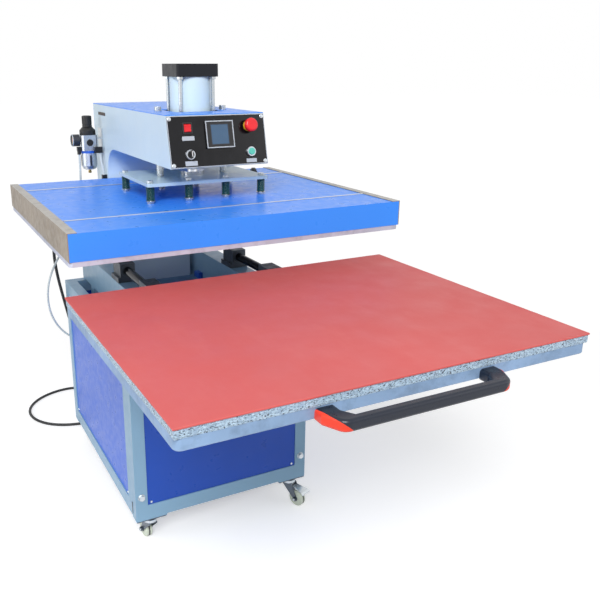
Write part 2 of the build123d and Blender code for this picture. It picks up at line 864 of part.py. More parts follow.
with BuildPart() as tie_rods:
    for x, y in tie_rod_spots:
        post(tie_rod_diameter, tie_rod_top - cylinder_bottom, (x, y, cylinder_bottom))
        for nut_z in (tie_rod_top - tie_nut_height, barrel_top - tie_nut_height, barrel_bottom):
            nut(level(x, y, nut_z), tie_nut, tie_nut_height)
save(tie_rods, "tie_rods")

# Control panel and what is mounted in it
with BuildPart() as control_panel:
    slab(panel_plane(), column_width - 2 * panel_edge, panel_height - 2 * panel_edge, -panel_sheet)
    operator_holes()
    for u in (-panel_screw_u, panel_screw_u):
        for v in (-panel_screw_v, panel_screw_v):
            disc(panel_plane(u, v), screw_hole, -panel_sheet, mode=Mode.SUBTRACT)
save(control_panel, "control_panel")

with BuildPart() as rocker_housing:
    rocker_spot = (left_column_u, upper_row_v)
    slab(panel_plane(*rocker_spot), rocker_width, rocker_height, rocker_flange, corner=rocker_flange)
    body_size = (rocker_width - 2 * body_inset, rocker_height - 2 * body_inset)
    slab(panel_plane(*rocker_spot), *body_size, -rocker_body_depth)
    slab(panel_plane(*rocker_spot, rocker_flange), *rocker_opening, -rocker_body_depth, mode=Mode.SUBTRACT)
save(rocker_housing, "rocker_housing")

rocker_radius = rocker_opening[1] / 2 - free_gap
rocker_length = rocker_opening[0] - 2 * free_gap
rocker_pivot = panel_plane(left_column_u, upper_row_v, -rocker_pivot_depth)
rocker_side = rocker_pivot.from_local_coords((-rocker_length / 2, 0, 0))
beyond = 2 * rocker_radius
with BuildPart() as rocker_switch:
    with BuildSketch(Plane(origin=rocker_side, x_dir=rocker_pivot.y_dir, z_dir=rocker_pivot.x_dir)):
        Circle(rocker_radius)
        with BuildLine():
            Polyline(
                (-beyond, rocker_face),
                (0, rocker_face),
                (beyond, rocker_face + beyond * math.tan(math.radians(2 * rocker_tilt))),
                (beyond, 2 * beyond),
                (-beyond, 2 * beyond),
                close=True,
            )
        make_face(mode=Mode.SUBTRACT)
    extrude(amount=rocker_length)
save(rocker_switch, "rocker_switch")

barrel_size = operator_hole - 2 * free_gap
with BuildPart() as button_bezels:
    for u in (left_column_u, right_column_u):
        foot = panel_plane(u, lower_row_v)
        ring_face = panel_plane(u, lower_row_v, operator_ring_height)
        cap_floor = panel_plane(u, lower_row_v, operator_floor)
        cap_well = operator_floor - operator_ring_height
        disc(foot, operator_ring, operator_ring_height, taper=operator_ring_taper)
        disc(foot, barrel_size, -operator_depth)
        disc(ring_face, operator_cap + 2 * running_gap, cap_well, mode=Mode.SUBTRACT)
        disc(cap_floor, operator_stem + 2 * running_gap, -operator_well, mode=Mode.SUBTRACT)
save(button_bezels, "button_bezels")


def top_edges(builder):
    """The edges of the face that stands furthest out of the control panel."""
    return builder.faces().sort_by(Axis(panel_middle, panel_normal))[-1].edges()


button_face = operator_ring_height + button_proud
button_foot = operator_floor + button_travel + free_gap
with BuildPart() as start_button:
    disc(panel_plane(right_column_u, lower_row_v, button_foot), operator_cap, button_face - button_foot)
    disc(panel_plane(right_column_u, lower_row_v, button_foot), operator_stem, -operator_stem_length)
    fillet(top_edges(start_button), button_edge)
save(start_button, "start_button")

selector_face = operator_ring_height + selector_proud
selector_foot = operator_floor + free_gap
with BuildPart() as selector_knob:
    disc(panel_plane(left_column_u, lower_row_v, selector_foot), operator_cap, selector_face - selector_foot)
    disc(panel_plane(left_column_u, lower_row_v, selector_foot), operator_stem, -operator_stem_length)
    with BuildSketch(panel_plane(left_column_u, lower_row_v, selector_face)):
        SlotOverall(selector_grip[0], selector_grip[1], rotation=90)
    extrude(amount=selector_grip[2], taper=5)
save(selector_knob, "selector_knob")

with BuildPart() as controller:
    controller_spot = (controller_u, controller_v)
    body_size = (controller_width - 2 * body_inset, controller_height - 2 * body_inset)
    rim_size = (controller_width - 2 * controller_rim, controller_height - 2 * controller_rim)
    front = panel_plane(*controller_spot, controller_front)
    slab(panel_plane(*controller_spot), controller_width, controller_height, controller_front, controller_rim)
    slab(panel_plane(*controller_spot), *body_size, -controller_depth)
    slab(front, *rim_size, -controller_rim_depth, mode=Mode.SUBTRACT)
    slab(front, *display_size, -display_depth, mode=Mode.SUBTRACT)
save(controller, "controller")

with BuildPart() as estop_collar:
    estop_spot = (right_column_u, upper_row_v)
    collar_face = panel_plane(*estop_spot, collar_height)
    disc(panel_plane(*estop_spot), collar_diameter, collar_height, taper=collar_taper)
    disc(panel_plane(*estop_spot), barrel_size, -operator_depth)
    disc(collar_face, estop_stem + 2 * running_gap, -collar_height - operator_well, mode=Mode.SUBTRACT)
save(estop_collar, "estop_collar")

with BuildPart() as estop_button:
    disc(panel_plane(*estop_spot, estop_stand), estop_stem, -estop_stand - operator_well / 2)
    disc(panel_plane(*estop_spot, estop_stand), estop_cap, estop_cap_height)
    fillet(top_edges(estop_button), estop_edge)
save(estop_button, "estop_button")

# Table: casting with channels that pass over the bearing blocks, felt board and silicone mat
casting_size = (table_width - 2 * casting_inset, table_depth - 2 * casting_inset)
channel_width = block_width - 2 * block_shoulder + 2 * channel_side
pocket_x = shaft_x + channel_width / 2 + pocket_rib / 2 + pocket_width / 2
channel_y = (table_front_y + channel_start, table_rear_y)
with BuildPart() as table_casting:
    slab(level(0, table_y, table_bottom), *casting_size, casting_thickness, corner=casting_corner)
    chamfer(table_casting.faces().sort_by(Axis.Z)[0].edges(), casting_bevel)
    with BuildSketch(level(0, table_y, table_bottom)):
        with GridLocations(pocket_x, pocket_length + pocket_rib, 3, 2):
            RectangleRounded(pocket_width, pocket_length, pocket_corner)
    extrude(amount=pocket_depth, mode=Mode.SUBTRACT)
    for x in (-shaft_x, shaft_x):
        channel = (around(x, channel_width), channel_y, (table_bottom, table_bottom + channel_depth))
        block(*channel, mode=Mode.SUBTRACT)
save(table_casting, "table_casting")

felt_size = (table_width - 2 * felt_inset, table_depth - 2 * felt_inset)
with BuildPart() as felt_board:
    slab(level(0, table_y, casting_top), *felt_size, felt_thickness)
save(felt_board, "felt_board")

with BuildPart() as silicone_mat:
    slab(level(0, table_y, felt_top), table_width, table_depth, mat_thickness, corner=mat_corner)
save(silicone_mat, "silicone_mat")

# Shafts under the table, and the blocks that hold them to the casting
shaft_front_y = table_front_y + shaft_front_inset
shaft_rear_y = bearing_rows[1] + block_length / 2 + shaft_tail
with BuildPart() as slide_shafts:
    along_shafts(shaft_front_y, shaft_rear_y, shaft_diameter)
    chamfer(slide_shafts.edges().filter_by(GeomType.CIRCLE), 1.5)
save(slide_shafts, "slide_shafts")

with BuildPart() as shaft_supports:
    for support in range(2):
        support_y = around(table_front_y + first_support + support * support_pitch, support_length)
        for x in (-shaft_x, shaft_x):
            block(around(x, support_width), support_y, (shaft_z - support_drop, table_bottom))
        along_shafts(*support_y, shaft_diameter + 2 * seat_gap, mode=Mode.SUBTRACT)
save(shaft_supports, "shaft_supports")

# Handle on the table's front edge: a bar with two legs, and a coloured shell round each end
handle_back_y = table_front_y + casting_inset
handle_top = table_bottom - handle_below_casting + handle_height
handle_bottom = handle_top - handle_height
flank_y = table_front_y - handle_flank
bar_y = handle_front_y + handle_bar_depth
outer_half = handle_width / 2
front_half = handle_front_width / 2
opening_half = handle_opening_width / 2
opening_front = opening_half - handle_opening_taper


def whole_handle(builder):
    """The bar and its legs, rounded all along, inside the current part."""
    with BuildSketch(level(0, 0, handle_bottom)) as outline:
        with BuildLine():
            Polyline(
                (-outer_half, handle_back_y),
                (-outer_half, flank_y),
                (-front_half, handle_front_y),
                (front_half, handle_front_y),
                (outer_half, flank_y),
                (outer_half, handle_back_y),
                (opening_half, handle_back_y),
                (opening_half, flank_y),
                (opening_front, bar_y),
                (-opening_front, bar_y),
                (-opening_half, flank_y),
                (-opening_half, handle_back_y),
                close=True,
            )
        make_face()
        corners = outline.vertices()
        nose = corners.filter_by_position(Axis.Y, handle_front_y - 1, handle_front_y + 1)
        fillet(nose, handle_front_corner)
        fillet(corners.filter_by_position(Axis.Y, bar_y - 1, flank_y + 1), handle_corner)
    extrude(outline.sketch, amount=handle_height)
    rims = builder.edges().group_by(Axis.Z)
    outside = [edge for edge in rims[0] + rims[-1] if edge.center().Y < handle_back_y - seat_gap]
    fillet(outside, handle_edge)


def handle_core(mode):
    """A slanted prism, wider at its top, that parts the dark bar from its coloured ends."""
    sections = []
    for height, foot, wrap in zip((handle_bottom, handle_top), cap_foot, cap_wrap):
        foot_half = outer_half - foot
        nose_half = front_half - wrap
        with BuildSketch(level(0, 0, height)) as outline:
            with BuildLine():
                Polyline(
                    (-foot_half, handle_back_y),
                    (-nose_half, handle_front_y),
                    (nose_half, handle_front_y),
                    (foot_half, handle_back_y),
                    close=True,
                )
            make_face()
        sections.append(outline.sketch)
    loft(sections, ruled=True, mode=mode)


with BuildPart() as handle_bar:
    whole_handle(handle_bar)
    handle_core(Mode.INTERSECT)
save(handle_bar, "handle_bar")

with BuildPart() as handle_ends:
    whole_handle(handle_ends)
    handle_core(Mode.SUBTRACT)
save(handle_ends, "handle_ends")

# Ram: piston and rod, press plate and guide rods
piston_top = barrel_top - piston_headroom
with BuildPart() as piston_rod:
    post(barrel_bore - 2 * running_gap, piston_height, (0, platen_y, piston_top - piston_height))
    post(rod_diameter, piston_top - plate_top, (0, platen_y, plate_top))
    post(rod_flange, rod_flange_height, (0, platen_y, plate_top))
save(piston_rod, "piston_rod")

spring_spots = [
    ((column - 1.5) * spring_pitch, row_y)
    for column in range(4)
    for row_y in around(platen_y, spring_row_pitch)
]
with BuildPart() as press_plate:
    block(around(0, plate_width), around(platen_y, plate_depth), (plate_bottom, plate_top))
    chamfer(press_plate.edges().filter_by(Axis.Z), plate_corner)
    for x, y in spring_spots:
        post(spring_bolt + 2 * free_gap, plate_thickness, (x, y, plate_bottom), mode=Mode.SUBTRACT)
    for x in (-guide_x, guide_x):
        stud_foot = (x, platen_y, plate_bottom)
        post(guide_stud + 2 * seat_gap, plate_thickness, stud_foot, mode=Mode.SUBTRACT)
save(press_plate, "press_plate")

with BuildPart() as guide_rods:
    for x in (-guide_x, guide_x):
        post(guide_diameter, head_top + guide_above_head - plate_top, (x, platen_y, plate_top))
        post(guide_stud, plate_thickness, (x, platen_y, plate_bottom))
        nut(level(x, platen_y, plate_bottom), guide_nut, -guide_nut_height)
save(guide_rods, "guide_rods")

# Spring set: bolts held in the heater plate, each with a nut, a washer and a spring under the press plate
washer_bottom = cover_top + spring_nut_height
spring_seat = washer_bottom + washer_thickness
bolt_root = heater_top - bolt_engagement
with BuildPart() as spring_bolts:
    for x, y in spring_spots:
        post(spring_bolt, plate_top - bolt_root, (x, y, bolt_root))
        nut(level(x, y, cover_top), spring_nut, spring_nut_height)
        post(washer_diameter, washer_thickness, (x, y, washer_bottom))
        nut(level(x, y, plate_top), bolt_head, bolt_head_height)
save(spring_bolts, "spring_bolts")


def biarc(start, start_way, end, end_way):
    """Two arcs that meet smoothly, from start to end with the given directions."""
    chord = end - start
    along = chord.dot(start_way + end_way)
    spread = 2 * (1 - start_way.dot(end_way))
    reach = (math.sqrt(along**2 + spread * chord.dot(chord)) - along) / spread
    first = start + start_way * reach
    last = end - end_way * reach
    middle = (first + last) / 2
    TangentArc(start, middle, tangent=start_way)
    TangentArc(middle, end, tangent=(last - first).normalized())


def curve_way(curve, turn):
    """The direction of a curve that is given as a function of its turns."""
    step = 0.001
    return (curve(turn + step) - curve(turn - step)).normalized()


def wind(curve, turns, parts_per_turn):
    """Biarcs along a curve, inside the current line."""
    for part in range(turns * parts_per_turn):
        low = part / parts_per_turn
        high = (part + 1) / parts_per_turn
        biarc(curve(low), curve_way(curve, low), curve(high), curve_way(curve, high))


def least_gap(curve, turns, diameter):
    """The least gap between a wound tube and itself, half a turn away or more."""
    steps = 48
    points = [curve(i / steps) for i in range(turns * steps + 1)]
    distances = [
        (points[j] - points[i]).length
        for i in range(len(points))
        for j in range(i + steps // 2, len(points))
    ]
    return min(distances) - diameter


spring_rise = (plate_bottom - spring_seat - 2 * free_gap - spring_wire) / spring_turns
spring_middle = (spring_diameter - spring_wire) / 2
spring_foot = spring_seat + free_gap + spring_wire / 2


def spring_curve(turn):
    angle = 2 * math.pi * turn
    across = spring_middle * math.cos(angle)
    return Vector(across, spring_middle * math.sin(angle), spring_foot + spring_rise * turn)


with BuildPart() as one_spring:
    with BuildLine() as spring_line:
        wind(spring_curve, spring_turns, 2)
    with BuildSketch(Plane(origin=spring_curve(0), z_dir=curve_way(spring_curve, 0))):
        Circle(spring_wire / 2)
    sweep(path=spring_line.wires()[0])

with BuildPart() as springs:
    with Locations(*spring_spots):
        add(one_spring.part)
save(springs, "springs")
spring_gap = least_gap(spring_curve, spring_turns, spring_wire)
print(f"springs: {spring_turns} turns each, least gap to itself {spring_gap:.2f} mm")

# Platen: sheet cover with end skirts and strips, insulation, and the heater plate
cover_half = half_platen - trim_sheet
platen_span = (platen_front_y, platen_rear_y)
with BuildPart() as platen_cover:
    block((-cover_half, cover_half), platen_span, (heater_top, cover_top))
    hollow_x = shrink((-cover_half, cover_half), cover_sheet)
    hollow_z = (heater_top, cover_top - cover_sheet)
    block(hollow_x, shrink(platen_span, cover_sheet), hollow_z, mode=Mode.SUBTRACT)
    for x, y in spring_spots:
        post(spring_bolt + 2 * seat_gap, cover_sheet, (x, y, hollow_z[1]), mode=Mode.SUBTRACT)
save(platen_cover, "platen_cover")

trim_z = (cover_top, cover_top + cover_sheet)
with BuildPart() as platen_trim:
    for x in both(cover_half, half_platen):
        block(x, platen_span, (heater_top, trim_z[1]))
    for x in both(half_platen - skirt_lip, half_platen):
        block(x, platen_span, trim_z)
    strip_half = half_platen - skirt_lip - cover_sheet
    for y in shrink(platen_span, strip_inset):
        block((-strip_half, strip_half), around(y, strip_width), trim_z)
save(platen_trim, "platen_trim")

with BuildPart() as heater_plate:
    heater_x = shrink((-half_platen, half_platen), heater_inset)
    block(heater_x, shrink(platen_span, heater_inset), (heater_bottom, heater_top))
    chamfer(heater_plate.edges().filter_by(Axis.Z), heater_corner)
    for x, y in spring_spots:
        post(spring_bolt + 2 * seat_gap, bolt_engagement, (x, y, bolt_root), mode=Mode.SUBTRACT)
save(heater_plate, "heater_plate")

with BuildPart() as insulation_board:
    board_x = shrink((-half_platen, half_platen), insulation_inset)
    board_z = (heater_top, heater_top + insulation_thickness)
    block(board_x, shrink(platen_span, insulation_inset), board_z)
    for x, y in spring_spots:
        post(spring_bolt + 2 * free_gap, insulation_thickness, (x, y, heater_top), mode=Mode.SUBTRACT)
save(insulation_board, "insulation_board")

# Filter and regulator on the column's left side
unit_left = unit_x - unit_body_width / 2
unit_right = unit_x + unit_body_width / 2
unit_front = unit_y - unit_body_width / 2
body_top = unit_body_bottom + unit_body_height
bonnet_top = body_top + bonnet_height + bonnet_cone_height
with BuildPart() as regulator_body:
    block((unit_left, unit_right), around(unit_y, unit_body_width), (unit_body_bottom, body_top))
    chamfer(regulator_body.edges().filter_by(Axis.Z), unit_corner)
    post(bonnet_diameter, bonnet_height, (unit_x, unit_y, body_top))
    with Locations((unit_x, unit_y, body_top + bonnet_height)):
        cone_align = (Align.CENTER, Align.CENTER, Align.MIN)
        Cone(bonnet_diameter / 2, knob_diameter / 2, bonnet_cone_height, align=cone_align)
    post(knob_stem, knob_stem_height, (unit_x, unit_y, bonnet_top))
save(regulator_body, "regulator_body")

with BuildPart() as regulator_bracket:
    bracket_y = around(unit_y, bracket_width)
    bracket_z = (unit_body_bottom - bracket_drop, bonnet_top - bracket_drop)
    arm_bottom = body_top - bracket_arm_below
    block((column_left - bracket_thickness, column_left), bracket_y, bracket_z)
    block((unit_right, column_left), bracket_y, (arm_bottom, arm_bottom + bracket_thickness))
save(regulator_bracket, "regulator_bracket")

with BuildPart() as regulator_knob:
    post(knob_diameter, knob_height, (unit_x, unit_y, bonnet_top + free_gap))
    fillet(regulator_knob.faces().sort_by(Axis.Z)[-1].edges(), knob_edge)
    knob_bore = knob_stem + 2 * running_gap
    post(knob_bore, knob_well, (unit_x, unit_y, bonnet_top), mode=Mode.SUBTRACT)
save(regulator_knob, "regulator_knob")

bowl_bottom = unit_body_bottom - bowl_height
bowl_radius = bowl_diameter / 2
with BuildPart() as regulator_bowl:
    with BuildSketch(Plane(origin=(unit_x, unit_y, 0), x_dir=(1, 0, 0), z_dir=(0, -1, 0))):
        with BuildLine():
            Polyline(
                (0, unit_body_bottom),
                (bowl_radius, unit_body_bottom),
                (bowl_radius, bowl_bottom + bowl_lip),
                (bowl_radius - bowl_lip / 4, bowl_bottom + bowl_lip / 3),
                (bowl_radius - bowl_lip, bowl_bottom),
                (drain_diameter / 2, bowl_bottom),
                (drain_diameter / 2, bowl_bottom - drain_height),
                (0, bowl_bottom - drain_height),
                close=True,
            )
        make_face()
    revolve(axis=Axis((unit_x, unit_y, 0), (0, 0, 1)))
save(regulator_bowl, "regulator_bowl")

gauge_face_x = unit_left - gauge_stem_length - gauge_depth
dial = Plane(origin=(gauge_face_x, unit_y, gauge_height), x_dir=(0, -1, 0), z_dir=(-1, 0, 0))
with BuildPart() as pressure_gauge:
    disc(dial, gauge_diameter, -gauge_depth)
    disc(dial, gauge_diameter - 2 * gauge_rim, -gauge_dial_depth, mode=Mode.SUBTRACT)
    disc(dial.offset(-gauge_depth), gauge_stem, -gauge_stem_length)
    post_hole = needle_post + 2 * running_gap
    disc(dial.offset(-gauge_dial_depth), post_hole, -gauge_dial_depth, mode=Mode.SUBTRACT)
save(pressure_gauge, "pressure_gauge")

needle_plane = dial.offset(needle_lift - gauge_dial_depth)
with BuildPart() as gauge_needle:
    with BuildSketch(needle_plane):
        with BuildLine():
            Polyline(
                (-1.2, -needle_length / 3),
                (1.2, -needle_length / 3),
                (0.5, needle_length),
                (-0.5, needle_length),
                close=True,
            )
        make_face()
        Circle(needle_post)
    extrude(amount=needle_lift)
    disc(needle_plane, needle_post, -gauge_dial_depth)
save(gauge_needle, "gauge_needle")


def path_radii(points):
    """Arc radii for a tube's corners, as large as the runs beside each allow."""
    radii = []
    for before, corner, after in zip(points, points[1:], points[2:]):
        half_turn = math.radians((corner - before).get_angle(after - corner)) / 2
        shorter = min((corner - before).length, (after - corner).length)
        radii.append(0.45 * shorter / math.tan(half_turn))
    return radii


def tube(route, diameter, name):
    """A round tube along straight runs joined by arcs, inside the current part."""
    points = [Vector(*point) for point in route]
    radii = path_radii(points)
    with BuildLine() as line:
        FilletPolyline(*points, radius=radii)
    path = line.wires()[0]
    with BuildSketch(Plane(origin=points[0], z_dir=points[1] - points[0])) as section:
        Circle(diameter / 2)
    sweep(section.sketch, path=path)
    print(f"{name}: length {path.length:.0f} mm, least radius {min(radii) / diameter:.1f} diameters")
    print(f"{name}: radii {[round(radius) for radius in radii]}")
    return path.length


# Air fittings: elbows at the unit, the column and the cabinet's back, and the short hose to the column
elbow_x = unit_left - fitting_size / 2 - fitting_reach
tube_exit = (elbow_x, unit_y - unit_corner, unit_body_bottom - fitting_size)
elbow_z = (unit_body_bottom, unit_body_bottom + fitting_size)
inlet_y = rear_y + inlet_setback
hose_top = (column_left - 16.5, unit_front - 8.0, unit_body_bottom - 8.0)
hose_foot = (column_left - 9.5, unit_front - 19.0, unit_body_bottom - 90.0)
hose_route = [
    hose_top,
    (column_left - 16.0, unit_front - 10.0, unit_body_bottom - 34.0),
    (column_left - 13.0, unit_front - 15.0, unit_body_bottom - 62.0),
    hose_foot,
]
with BuildPart() as air_fittings:
    block((elbow_x - fitting_size / 2, unit_left), around(tube_exit[1], fitting_size), elbow_z)
    post(fitting_size, fitting_size, tube_exit)
    block(
        (unit_right - hose_fitting_size, hose_top[0] + hose_fitting_size / 2),
        (hose_top[1] - hose_fitting_size / 2, unit_front),
        (hose_top[2], hose_top[2] + hose_fitting_height),
    )
    block(
        (hose_foot[0] - hose_fitting_size / 2, column_left),
        around(hose_foot[1], hose_fitting_size),
        (hose_foot[2] - hose_fitting_size, hose_foot[2]),
    )
    block(
        (inlet_x, inlet_x + fitting_size),
        around(inlet_y, fitting_size),
        around(inlet_height, fitting_size),
    )
    stem_foot = (inlet_x + fitting_size / 2, rear_panel_y[1], inlet_height)
    disc(Plane(origin=stem_foot, z_dir=(0, 1, 0)), fitting_size, inlet_setback)
    tube(hose_route, hose_diameter, "column hose")
save(air_fittings, "air_fittings")

# Valve inside the head, on the throat plate
valve_z = head_underside + throat_wall
valve_top = valve_z + valve_size[2]
with BuildPart() as solenoid_valve:
    valve_y = throat_y - valve_setback
    block(around(0, valve_size[0]), around(valve_y, valve_size[1]), (valve_z, valve_top))
    block(around(0, valve_coil[0]), around(valve_y, valve_coil[1]), (valve_top, valve_top + valve_coil[2]))
save(solenoid_valve, "solenoid_valve")

# Air tube from the unit, bowing out to the left of the cabinet and round to its back
air_tube_route = [
    tube_exit,
    (elbow_x, tube_exit[1], 1142.0),
    (-257.0, 813.0, 1058.0),
    (-277.0, 815.0, 981.0),
    (-306.0, 825.0, 909.0),
    (-343.0, 839.0, 846.0),
    (-377.0, 854.0, 782.0),
    (-398.0, 868.0, 712.0),
    (-401.0, 883.0, 637.0),
    (-386.0, 900.0, 567.0),
    (-354.0, 916.0, 505.0),
    (-309.0, 927.0, 459.0),
    (-252.0, inlet_y + 1.5, 432.0),
    (-214.0, inlet_y, inlet_height),
    (inlet_x, inlet_y, inlet_height),
]
with BuildPart() as air_tube:
    air_length = tube(air_tube_route, air_tube_diameter, "air_tube")
save(air_tube, "air_tube")
air_section = math.pi * air_tube_diameter**2 / 4
print(f"air_tube: volume over section {air_tube.part.volume / air_section:.0f} mm, path {air_length:.0f} mm")

# Power cord: gland in the column's side, down behind the cabinet, a loop on the floor, and the coil
gland_y = rear_y - gland_setback
gland_plane = Plane(origin=(column_left, gland_y, gland_height), x_dir=(0, 1, 0), z_dir=(-1, 0, 0))
with BuildPart() as power_gland:
    nut(gland_plane, gland_size, gland_hex_height)
    nose_length = gland_length - gland_hex_height
    disc(gland_plane.offset(gland_hex_height), gland_nose, nose_length, taper=gland_nose_taper)
save(power_gland, "power_gland")

floor_z = cord_diameter / 2 + cord_lift
coil_pitch = cord_diameter + coil_gap
coil_y = rear_y + coil_behind
middle_turn = coil_turns / 2
coil_core = coil_radius - coil_pitch * middle_turn / 2


def coil_curve(turn):
    """In on the floor and out again on top, with a climb in the half turn between the layers."""
    radius = coil_core + coil_pitch * abs(turn - middle_turn)
    angle = 2 * math.pi * turn - math.pi / 2
    climbed = min(max(2 * (turn - middle_turn) + 0.5, 0), 1)
    height = floor_z + coil_pitch * (1 - math.cos(math.pi * climbed)) / 2
    return Vector(coil_x + radius * math.cos(angle), coil_y + radius * math.sin(angle), height)


coil_entry_way = curve_way(coil_curve, 0)
coil_exit_way = curve_way(coil_curve, coil_turns)
coil_entry = coil_curve(0) - coil_entry_way * coil_lead
coil_exit = coil_curve(coil_turns) + coil_exit_way * coil_tail

power_cord_route = [
    (column_left - gland_length, gland_y, gland_height),
    (-247.0, gland_y, gland_height),
    (-304.0, 833.0, 1022.0),
    (-344.0, 850.0, 968.0),
    (-361.0, 872.0, 896.0),
    (-360.0, 891.0, 818.0),
    (-350.0, 907.0, 738.0),
    (-334.0, 921.0, 656.0),
    (-316.0, 934.0, 570.0),
    (-297.0, 945.0, 480.0),
    (-275.0, 954.0, 390.0),
    (-250.0, 966.0, 302.0),
    (-222.0, 988.0, 216.0),
    (-193.0, 1031.0, 138.0),
    (-166.0, 1096.0, 72.0),
    (-144.0, 1180.0, 26.0),
    (-130.0, 1272.0, floor_z),
    (-146.0, 1358.0, floor_z),
    (-212.0, 1411.0, floor_z),
    (-296.0, 1411.0, floor_z),
    (-378.0, 1376.0, floor_z),
    (-440.0, 1314.0, floor_z),
    (-470.0, 1234.0, floor_z),
    (-458.0, 1145.0, floor_z),
    (-406.0, 1070.0, floor_z),
    (-325.0, 1025.0, floor_z),
    (-234.0, 1012.0, floor_z),
    (-142.0, 1010.0, floor_z),
    (-48.0, 1013.0, floor_z),
    coil_entry - coil_entry_way * 74.0,
    coil_entry,
]
with BuildPart() as power_cord:
    cord_length = tube(power_cord_route, cord_diameter, "power_cord")
save(power_cord, "power_cord")

with BuildPart() as power_cord_coil:
    with BuildLine() as coil_line:
        Line(coil_entry, coil_curve(0))
        wind(coil_curve, coil_turns, 4)
        Line(coil_curve(coil_turns), coil_exit)
    coil_path = coil_line.wires()[0]
    with BuildSketch(Plane(origin=coil_entry, z_dir=coil_entry_way)):
        Circle(cord_diameter / 2)
    sweep(path=coil_path)
save(power_cord_coil, "power_cord_coil")
cord_section = math.pi * cord_diameter**2 / 4
coil_least = least_gap(coil_curve, coil_turns, cord_diameter)
print(f"coil: path {coil_path.length:.0f} mm, least gap to itself {coil_least:.2f} mm")
print(f"coil: volume over section {power_cord_coil.part.volume / cord_section:.0f} mm")
print(f"power_cord: volume over section {power_cord.part.volume / cord_section:.0f} mm")
print(f"power cord with its coil: {cord_length + coil_path.length:.0f} mm")

# Plug lying beside the coil
plug_plane = Plane(origin=coil_exit, x_dir=(0, 0, 1), z_dir=coil_exit_way)
with BuildPart() as power_plug:
    disc(plug_plane, plug_diameter - 2 * plug_step, plug_length)
    disc(plug_plane.offset(plug_length / 3), plug_diameter, plug_length * 2 / 3)
    with BuildSketch(plug_plane.offset(plug_length)):
        with PolarLocations(plug_pin_spacing / 2, 4):
            Circle(plug_pin / 2)
    extrude(amount=plug_pin_length)
save(power_plug, "power_plug")
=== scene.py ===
import json
import math

import bpy
from mathutils import Matrix, Vector


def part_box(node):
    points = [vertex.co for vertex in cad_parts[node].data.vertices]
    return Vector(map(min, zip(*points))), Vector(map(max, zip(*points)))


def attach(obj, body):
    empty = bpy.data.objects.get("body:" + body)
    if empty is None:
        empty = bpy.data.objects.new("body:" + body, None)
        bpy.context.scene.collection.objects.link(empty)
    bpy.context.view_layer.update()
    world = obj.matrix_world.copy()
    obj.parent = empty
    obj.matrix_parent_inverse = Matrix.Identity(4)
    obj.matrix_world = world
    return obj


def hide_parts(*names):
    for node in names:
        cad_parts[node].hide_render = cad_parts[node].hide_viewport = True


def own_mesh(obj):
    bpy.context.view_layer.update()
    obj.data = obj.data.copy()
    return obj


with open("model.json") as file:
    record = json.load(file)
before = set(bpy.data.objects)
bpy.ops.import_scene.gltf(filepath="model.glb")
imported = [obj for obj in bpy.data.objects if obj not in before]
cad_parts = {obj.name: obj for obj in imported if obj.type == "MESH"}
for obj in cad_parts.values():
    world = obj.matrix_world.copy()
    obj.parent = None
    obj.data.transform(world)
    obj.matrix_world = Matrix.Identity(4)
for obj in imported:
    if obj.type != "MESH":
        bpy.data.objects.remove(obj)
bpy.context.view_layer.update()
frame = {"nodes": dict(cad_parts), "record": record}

scene = bpy.context.scene

# Camera, at the photograph's angle
camera_data = bpy.data.cameras.new("camera")
camera_data.sensor_width = 36.0
camera_data.lens = 43.05
camera_data.shift_x = 0.08
camera_data.shift_y = -0.0167
camera_data.clip_end = 100.0
camera = bpy.data.objects.new("camera", camera_data)
scene.collection.objects.link(camera)
camera_yaw = 0.465  # radians to the right of straight back
camera_pitch = 0.303  # radians down
camera.location = (-0.8941, -1.9254, 1.5448)
camera.rotation_euler = (math.pi / 2 - camera_pitch, 0.0, -camera_yaw)
scene.camera = camera
scene.view_settings.view_transform = "Standard"

# Places that follow from the CAD solids
cover_low, cover_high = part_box("platen_cover")
plate_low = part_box("press_plate")[0]
mat_low, mat_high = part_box("silicone_mat")
felt_low, felt_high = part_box("felt_board")
frame_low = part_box("cabinet_frame")[0]
column_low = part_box("c_frame")[0]
unit_low, unit_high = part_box("regulator_body")
rear_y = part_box("column_rear_cover")[1].y
head_front_y = rear_y - 0.8396
head_low_z = 1.254
platen_y = (cover_low.y + cover_high.y) / 2
unit_x = (unit_low.x + unit_high.x) / 2
unit_y = (unit_low.y + unit_high.y) / 2


# Cords
def cord_curve(name, points, diameter):
    """One smooth line with the route's points as its control points, given a round section."""
    data = bpy.data.curves.new(name, "CURVE")
    data.dimensions = "3D"
    data.bevel_depth = diameter / 2
    data.bevel_resolution = 6
    data.resolution_u = 6
    data.use_fill_caps = True
    spline = data.splines.new("NURBS")
    spline.points.add(len(points) - 1)
    for control, point in zip(spline.points, points):
        control.co = (*point, 1.0)
    spline.order_u = 3
    spline.use_endpoint_u = True
    piece = bpy.data.objects.new(name, data)
    scene.collection.objects.link(piece)
    return piece


